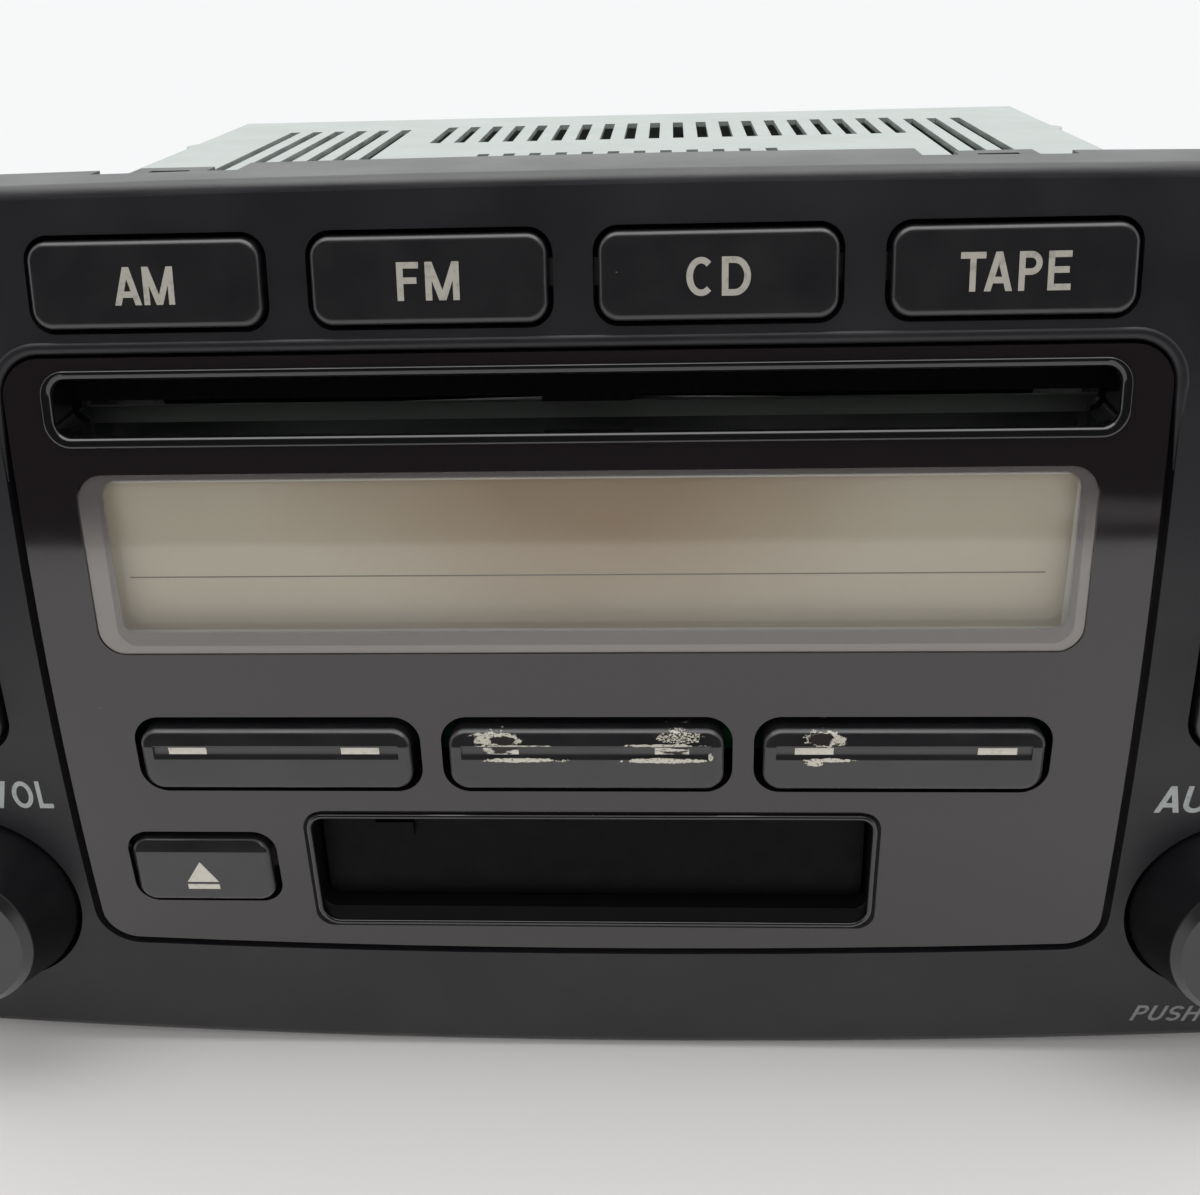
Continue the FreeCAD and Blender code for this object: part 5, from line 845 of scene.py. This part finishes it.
centre_key = key_finish("scraped_key_plastic_centre")
scrape(centre_key, (-11.1, 54.5), (3.4, 1.25), 1.0, ((-10.4, 54.3), (1.8, 0.85)))
scrape(centre_key, (-8.4, 51.42), (6.2, 0.34), 0.9)
scrape(centre_key, (-9.0, 53.50), (5.4, 0.16), 1.2)
scrape(centre_key, (11.9, 54.7), (3.0, 1.15), 1.3, gaps=0.50)
scrape(centre_key, (9.8, 53.55), (5.4, 0.28), 0.9)
scrape(centre_key, (10.2, 51.35), (6.4, 0.38), 0.9)
scrape(centre_key, (15.7, 51.8), (0.32, 0.55), 0.8)
roll_back(centre_key, preset_start, preset_slope)
dress(centre_key, "preset_rocker_centre")

right_key = key_finish("scraped_key_plastic_right")
scrape(right_key, (29.9, 54.5), (2.9, 1.35), 0.9, ((29.4, 54.5), (1.9, 1.05)))
scrape(right_key, (30.4, 51.45), (3.8, 0.32), 0.9)
scrape(right_key, (28.9, 51.0), (1.5, 0.45), 0.9)
roll_back(right_key, preset_start, preset_slope)
dress(right_key, "preset_rocker_right")

# Knobs: two mouldings in soft black plastic, dark on the side, their flat fronts polished by touch. Each
# is pressed onto the shaft of its encoder.

knob_colour, knob_touched, touched_depth = (0.0058, 0.0056, 0.0066), (0.0078, 0.0075, 0.0086), 0.0012
knob_plastic = start_finish("soft_knob_plastic", knob_colour, 0.34)
touched_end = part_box("volume_knob")[0].y + touched_depth
touched = reckon(knob_plastic, "LESS_THAN", place_along(knob_plastic, "Y"), touched_end)
fill(
    shader_of(knob_plastic), Coat_Roughness=0.30, Coat_Weight=reckon(knob_plastic, "MULTIPLY", touched, 0.8),
    Specular_IOR_Level=reckon(knob_plastic, "MULTIPLY_ADD", touched, 0.40, 0.10),
)
mottle(knob_plastic, 0.008, knob_colour, knob_touched)
vary_polish(knob_plastic, 0.004, 0.30, 0.40)
lay_grain(knob_plastic, 0.0004, 0.00001, 0.4)
strew_dust(knob_plastic, 0.005, 0.00008, 0.3)
dress(knob_plastic, "volume_knob", "audio_knob")

# Lettering: generic function words in a plain upright face, pad printed in cream on the keys and
# beside the knobs. Each is a thin film of paint, built of strokes.

print_colour, print_worn = (0.345, 0.33, 0.29), (0.25, 0.24, 0.215)
sign_colour, sign_worn = (0.58, 0.56, 0.49), (0.48, 0.46, 0.40)
grey_colour, grey_worn = (0.20, 0.20, 0.205), (0.14, 0.14, 0.145)
pale_colour, pale_worn = (0.33, 0.35, 0.35), (0.24, 0.26, 0.26)
film, ray_run, stroke, diagonal, bow_steps = 0.00003, 0.01, 0.165, 0.180, 20


def print_finish(name, colour, worn, size):
    """Matt printing paint, worn thin in patches."""
    finish = start_finish(name, colour, 0.5)
    mottle(finish, size, worn, colour, 0.30, 0.48)
    return finish


print_paint = print_finish("cream_print", print_colour, print_worn, 0.0009)
sign_paint = print_finish("cream_signs", sign_colour, sign_worn, 0.0007)


def post(x, low=0.0, high=1.0):
    """An upright stroke of a letter one unit high."""
    return [(x, low), (x + stroke, low), (x + stroke, high), (x, high)]


def rail(z, left, right):
    """A level stroke."""
    return [(left, z), (right, z), (right, z + stroke), (left, z + stroke)]


def slant(foot, top):
    """A slanted stroke from the base line to the top line."""
    return [(foot, 0.0), (foot + diagonal, 0.0), (top + diagonal, 1.0), (top, 1.0)]


def bow(x, z, across, up, start, end):
    """A curved stroke round a centre, between two angles in degrees."""
    outer, inner = [], []
    for step in range(bow_steps + 1):
        angle = math.radians(start + (end - start) * step / bow_steps)
        outer.append((x + across * math.cos(angle), z + up * math.sin(angle)))
        inner.append((x + (across - stroke) * math.cos(angle), z + (up - stroke) * math.sin(angle)))
    return outer + inner[::-1]


head = 1 - stroke
strokes = {
    "A": (0.76, [slant(0.0, 0.29), slant(0.58, 0.29), rail(0.20, 0.13, 0.63)]),
    "C": (0.72, [bow(0.37, 0.5, 0.37, 0.5, 48, 312)]),
    "D": (0.72, [post(0.0), rail(0.0, 0.0, 0.32), rail(head, 0.0, 0.32), bow(0.32, 0.5, 0.40, 0.5, -90, 90)]),
    "E": (0.62, [post(0.0), rail(0.0, 0.0, 0.62), rail(0.44, 0.0, 0.57), rail(head, 0.0, 0.62)]),
    "F": (0.56, [post(0.0), rail(0.44, 0.0, 0.50), rail(head, 0.0, 0.56)]),
    "H": (0.70, [post(0.0), post(0.70 - stroke), rail(0.44, 0.0, 0.70)]),
    "I": (stroke, [post(0.0)]),
    "L": (0.54, [post(0.0), rail(0.0, 0.0, 0.54)]),
    "M": (0.86, [post(0.0), post(0.86 - stroke), slant(0.34, 0.0), slant(0.34, 0.68)]),
    "O": (0.78, [bow(0.39, 0.5, 0.39, 0.5, 0, 180), bow(0.39, 0.5, 0.39, 0.5, 180, 360)]),
    "P": (0.62, [post(0.0), rail(0.40, 0.0, 0.32), rail(head, 0.0, 0.32), bow(0.32, 0.7, 0.3, 0.3, -90, 90)]),
    "S": (0.66, [bow(0.33, 0.7113, 0.33, 0.2888, 25, 270), bow(0.33, 0.2888, 0.33, 0.2888, -155, 90)]),
    "T": (0.68, [rail(head, 0.0, 0.68), post(0.34 - stroke / 2)]),
    "U": (0.70, [post(0.0, 0.35), post(0.70 - stroke, 0.35), bow(0.35, 0.35, 0.35, 0.35, 180, 360)]),
    "V": (0.76, [slant(0.29, 0.0), slant(0.29, 0.58)]),
}
letter_space = 0.16
closer = {"TA": 0.19, "AM": 0.09, "AU": 0.10}

joined, given = start_tree("joined_strokes", Strokes="Geometry", Paint="Material")
union = put(
    joined, "GeometryNodeMeshBoolean", {"operation": "UNION", "solver": "EXACT"},
    Mesh_2=given["Strokes"], Self_Intersection=True,
)
end_tree(joined, union, given["Paint"])


def prisms(name, outlines):
    """Flat outlines made one unit thick, side by side in one mesh."""
    spots, faces = [], []
    for outline in outlines:
        first, count = len(spots), len(outline)
        spots += [(x, z, depth) for depth in (0.0, 1.0) for x, z in outline]
        faces.append([first + place for place in reversed(range(count))])
        faces.append([first + count + place for place in range(count)])
        for place in range(count):
            after = (place + 1) % count
            faces.append([first + place, first + after, first + count + after, first + count + place])
    return shape(name, spots, faces)


def lay_film(mesh, name, node, finish, body):
    """Lay a flat mesh, whose Z is 0 at the back and 1 at the front, on a node's front surface."""
    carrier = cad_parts[node].data
    surface = BVHTree.FromPolygons(
        [vertex.co for vertex in carrier.vertices], [face.vertices for face in carrier.polygons]
    )
    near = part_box(node)[0].y - ray_run
    for vertex in mesh.vertices:
        spot = surface.ray_cast(Vector((vertex.co.x, near, vertex.co.y)), Vector((0.0, 1.0, 0.0)))[0]
        vertex.co = (vertex.co.x, spot.y + film / 3 - film * vertex.co.z, vertex.co.y)
    return show(name, mesh, finish, body)


def letter(word, left, right, low, high, node, body, finish=print_paint, lean=0.0):
    """Print a word inside a box on a node."""
    outlines, width, before = [], 0.0, ""
    for sign in word:
        wide, parts = strokes[sign]
        if before:
            width += letter_space - closer.get(before + sign, 0.0)
        outlines += [[(x + width, z) for x, z in part] for part in parts]
        width += wide
        before = sign
    name = "print_" + word.lower()
    mesh, tall = grow(joined, name, prisms(name, outlines), Paint=finish), high - low
    for vertex in mesh.vertices:
        along, rise = vertex.co.x / width, vertex.co.y
        vertex.co = (
            left + along * (right - left) + lean * (rise - 0.5) * tall, low + rise * tall, vertex.co.z,
        )
    return lay_film(mesh, name, node, finish, body)


button_letters = {"am": 0.0070, "fm": 0.0071, "cd": 0.0072, "tape": 0.0121}
letter_height = 0.0042
for word, width in button_letters.items():
    low_corner, high_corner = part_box("button_" + word)
    centre = (low_corner + high_corner) / 2
    letter(
        word.upper(), centre.x - width / 2, centre.x + width / 2,
        centre.z - letter_height / 2, centre.z + letter_height / 2, "button_" + word, "button_" + word,
    )

top_edge = 0.1215
grey_paint = print_finish("grey_print", grey_colour, grey_worn, 0.0009)
pale_paint = print_finish("pale_grey_print", pale_colour, pale_worn, 0.0009)
for word, left, right, down_to, down_from, paint, lean in (
    ("VOL", -0.0793, -0.0708, 0.0784, 0.0742, pale_paint, 0.0),
    ("AUDIO", 0.0721, 0.0872, 0.0786, 0.0746, pale_paint, 0.12),
    ("PUSH", 0.0747, 0.0837, 0.1148, 0.1118, grey_paint, 0.25),
):
    letter(word, left, right, top_edge - down_to, top_edge - down_from, "front_bezel", "root", paint, lean)

eject_middle, eject_half, eject_foot, eject_rise = -0.05225, 0.00215, top_edge - 0.0897, 0.0033
eject_bar_low, eject_bar_high = top_edge - 0.0909, top_edge - 0.0901
eject_left, eject_right = eject_middle - eject_half, eject_middle + eject_half
triangle = [(eject_left, eject_foot), (eject_right, eject_foot), (eject_middle, eject_foot + eject_rise)]
bar = box_outline(eject_left, eject_right, eject_bar_low, eject_bar_high)
lay_film(prisms("eject_sign", [triangle, bar]), "eject_sign", "eject_button", sign_paint, "eject_button")

# Preset bars: short cream bars laid in each rocker's groove, one at each end, in strips that follow
# the groove's curve.

bar_low, bar_high, bar_strips = 0.05215, 0.05315, 6
rocker_bars = {
    "preset_rocker_left": [(-0.0535, -0.0486), (-0.0312, -0.0263)],
    "preset_rocker_centre": [(-0.0130, -0.0085), (0.0087, 0.0130)],
    "preset_rocker_right": [(0.0262, 0.0310), (0.0488, 0.0536)],
}
worn_signs = start_finish("worn_cream_signs", sign_colour, 0.5)
vary_colour(worn_signs, lay_noise(worn_signs, 0.0011, (0.5, 1.0, 1.8)), bared_brown, sign_colour, 0.44, 0.52)
bar_paint = {"preset_rocker_centre": worn_signs}
bar_levels = [bar_low + (bar_high - bar_low) * step / bar_strips for step in range(bar_strips + 1)]
for rocker, bars in rocker_bars.items():
    spans = [(*bar, *levels) for bar in bars for levels in zip(bar_levels, bar_levels[1:])]
    mesh = prisms(rocker + "_bars", [box_outline(*span) for span in spans])
    lay_film(mesh, rocker + "_bars", rocker, bar_paint.get(rocker, sign_paint), rocker)

# Studio: a pale table that runs back into white, two soft lamps, and two sheets that only polished
# surfaces see: a dark card, for the dim room in front, and a pale sill.

table_colour, white_colour, table_reach = (0.82, 0.80, 0.79), (0.93, 0.94, 0.945, 1.0), 4.0
fade_from, fade_to, room_strength = 0.30, 0.80, 0.55
card_colour, sill_colour = (0.02, 0.02, 0.02), (0.5, 0.5, 0.5)
card_y, card_half, card_foot, card_top = -0.453, 0.9, 0.001, 0.62
sill_y, sill_left, sill_right, sill_foot, sill_top = card_y + 0.002, 0.152, 0.60, 0.0125, 0.0255


def stage_sheet(name, corners, paint):
    """A single flat sheet of the studio."""
    mesh = shape(name, corners, [range(4)])
    mesh.materials.append(paint)
    return set_out(name, mesh)


def seen_share(tree):
    """1 for the camera, polished surfaces and looks through the window, 0 for light."""
    ray = put(tree, "ShaderNodeLightPath").node.outputs
    seen = put(tree, "ShaderNodeMath", {"operation": "MAXIMUM"}, ray["Is Camera Ray"], ray["Is Glossy Ray"])
    return put(tree, "ShaderNodeMath", {"operation": "MAXIMUM"}, seen, ray["Is Transmission Ray"])


table_paint = start_finish("pale_table", table_colour, 0.6)
away = put(table_paint.node_tree, "ShaderNodeVectorMath", {"operation": "LENGTH"}, own_spot(table_paint))
fade = spread(table_paint, away, fade_from, fade_to, curve="SMOOTHSTEP")
share = reckon(table_paint, "MULTIPLY", seen_share(table_paint.node_tree), fade)
white = put(table_paint.node_tree, "ShaderNodeEmission", Color=white_colour)
pale = shader_of(table_paint).outputs["BSDF"]
blend = put(table_paint.node_tree, "ShaderNodeMixShader", None, share, pale, white)
fill(table_paint.node_tree.nodes["Material Output"], Surface=blend)
table_box = box_outline(-table_reach, table_reach, -table_reach, table_reach)
table_piece = stage_sheet("table", [(x, y, 0.0) for x, y in table_box], table_paint)

card_paint = start_finish("dim_room", card_colour, 1.0)
card_box = box_outline(-card_half, card_half, card_foot, card_top)
card_piece = stage_sheet("dark_card", [(x, card_y, z) for x, z in card_box], card_paint)
sill_paint = start_finish("pale_sill_paint", sill_colour, 1.0)
sill_box = box_outline(sill_left, sill_right, sill_foot, sill_top)
sill_piece = stage_sheet("pale_sill", [(x, sill_y, z) for x, z in sill_box], sill_paint)
for piece in (card_piece, sill_piece):
    piece.visible_camera = piece.visible_diffuse = piece.visible_shadow = piece.visible_transmission = False

world = bpy.data.worlds.new("studio")
bpy.context.scene.world = world
world.use_nodes = True
room = world.node_tree.nodes["Background"]
fill(room, Color=(1.0, 1.0, 1.0, 1.0), Strength=room_strength)
backdrop = put(world.node_tree, "ShaderNodeBackground", Color=white_colour)
share = seen_share(world.node_tree)
blend = put(world.node_tree, "ShaderNodeMixShader", None, share, room.outputs["Background"], backdrop)
fill(world.node_tree.nodes["World Output"], Surface=blend)

for name, spot, tilt, size, power in (
    ("lamp_above", (0.0, -0.10, 1.3), 0.0, (1.6, 1.2), 9.0),
    ("lamp_front", (0.0, -1.3, 0.95), 52.0, (1.4, 0.8), 7.0),
):
    lamp = bpy.data.lights.new(name, "AREA")
    lamp.shape = "RECTANGLE"
    lamp.size, lamp.size_y = size
    lamp.energy = power
    lamp_piece = set_out(name, lamp)
    lamp_piece.location = spot
    lamp_piece.rotation_euler = (math.radians(tilt), 0.0, 0.0)
    lamp_piece.visible_glossy = name == "lamp_above"

# Camera: close in front of the face and a little above it, turned and rolled as it was held.

focal_length, sensor_width, clip_start = 42.0, 36.0, 0.01
camera_x, camera_back, camera_height = 0.01117, -0.16045, 0.14393
pitch, yaw, roll = math.radians(24.72), math.radians(-3.32), math.radians(-1.68)
forward = Vector((math.sin(yaw) * math.cos(pitch), math.cos(yaw) * math.cos(pitch), -math.sin(pitch)))
right = Vector((math.cos(yaw), -math.sin(yaw), 0.0))
up = right.cross(forward)
rolled_right = math.cos(roll) * right + math.sin(roll) * up
rolled_up = math.cos(roll) * up - math.sin(roll) * right
lens = bpy.data.cameras.new("camera")
lens.lens, lens.sensor_width, lens.clip_start = focal_length, sensor_width, clip_start
camera = set_out("camera", lens)
place = Matrix((rolled_right, rolled_up, -forward)).transposed().to_4x4()
place.translation = Vector((camera_x, face_y(top_edge) + camera_back, camera_height))
camera.matrix_world = place
bpy.context.scene.camera = camera
bpy.context.scene.view_settings.view_transform = "Standard"
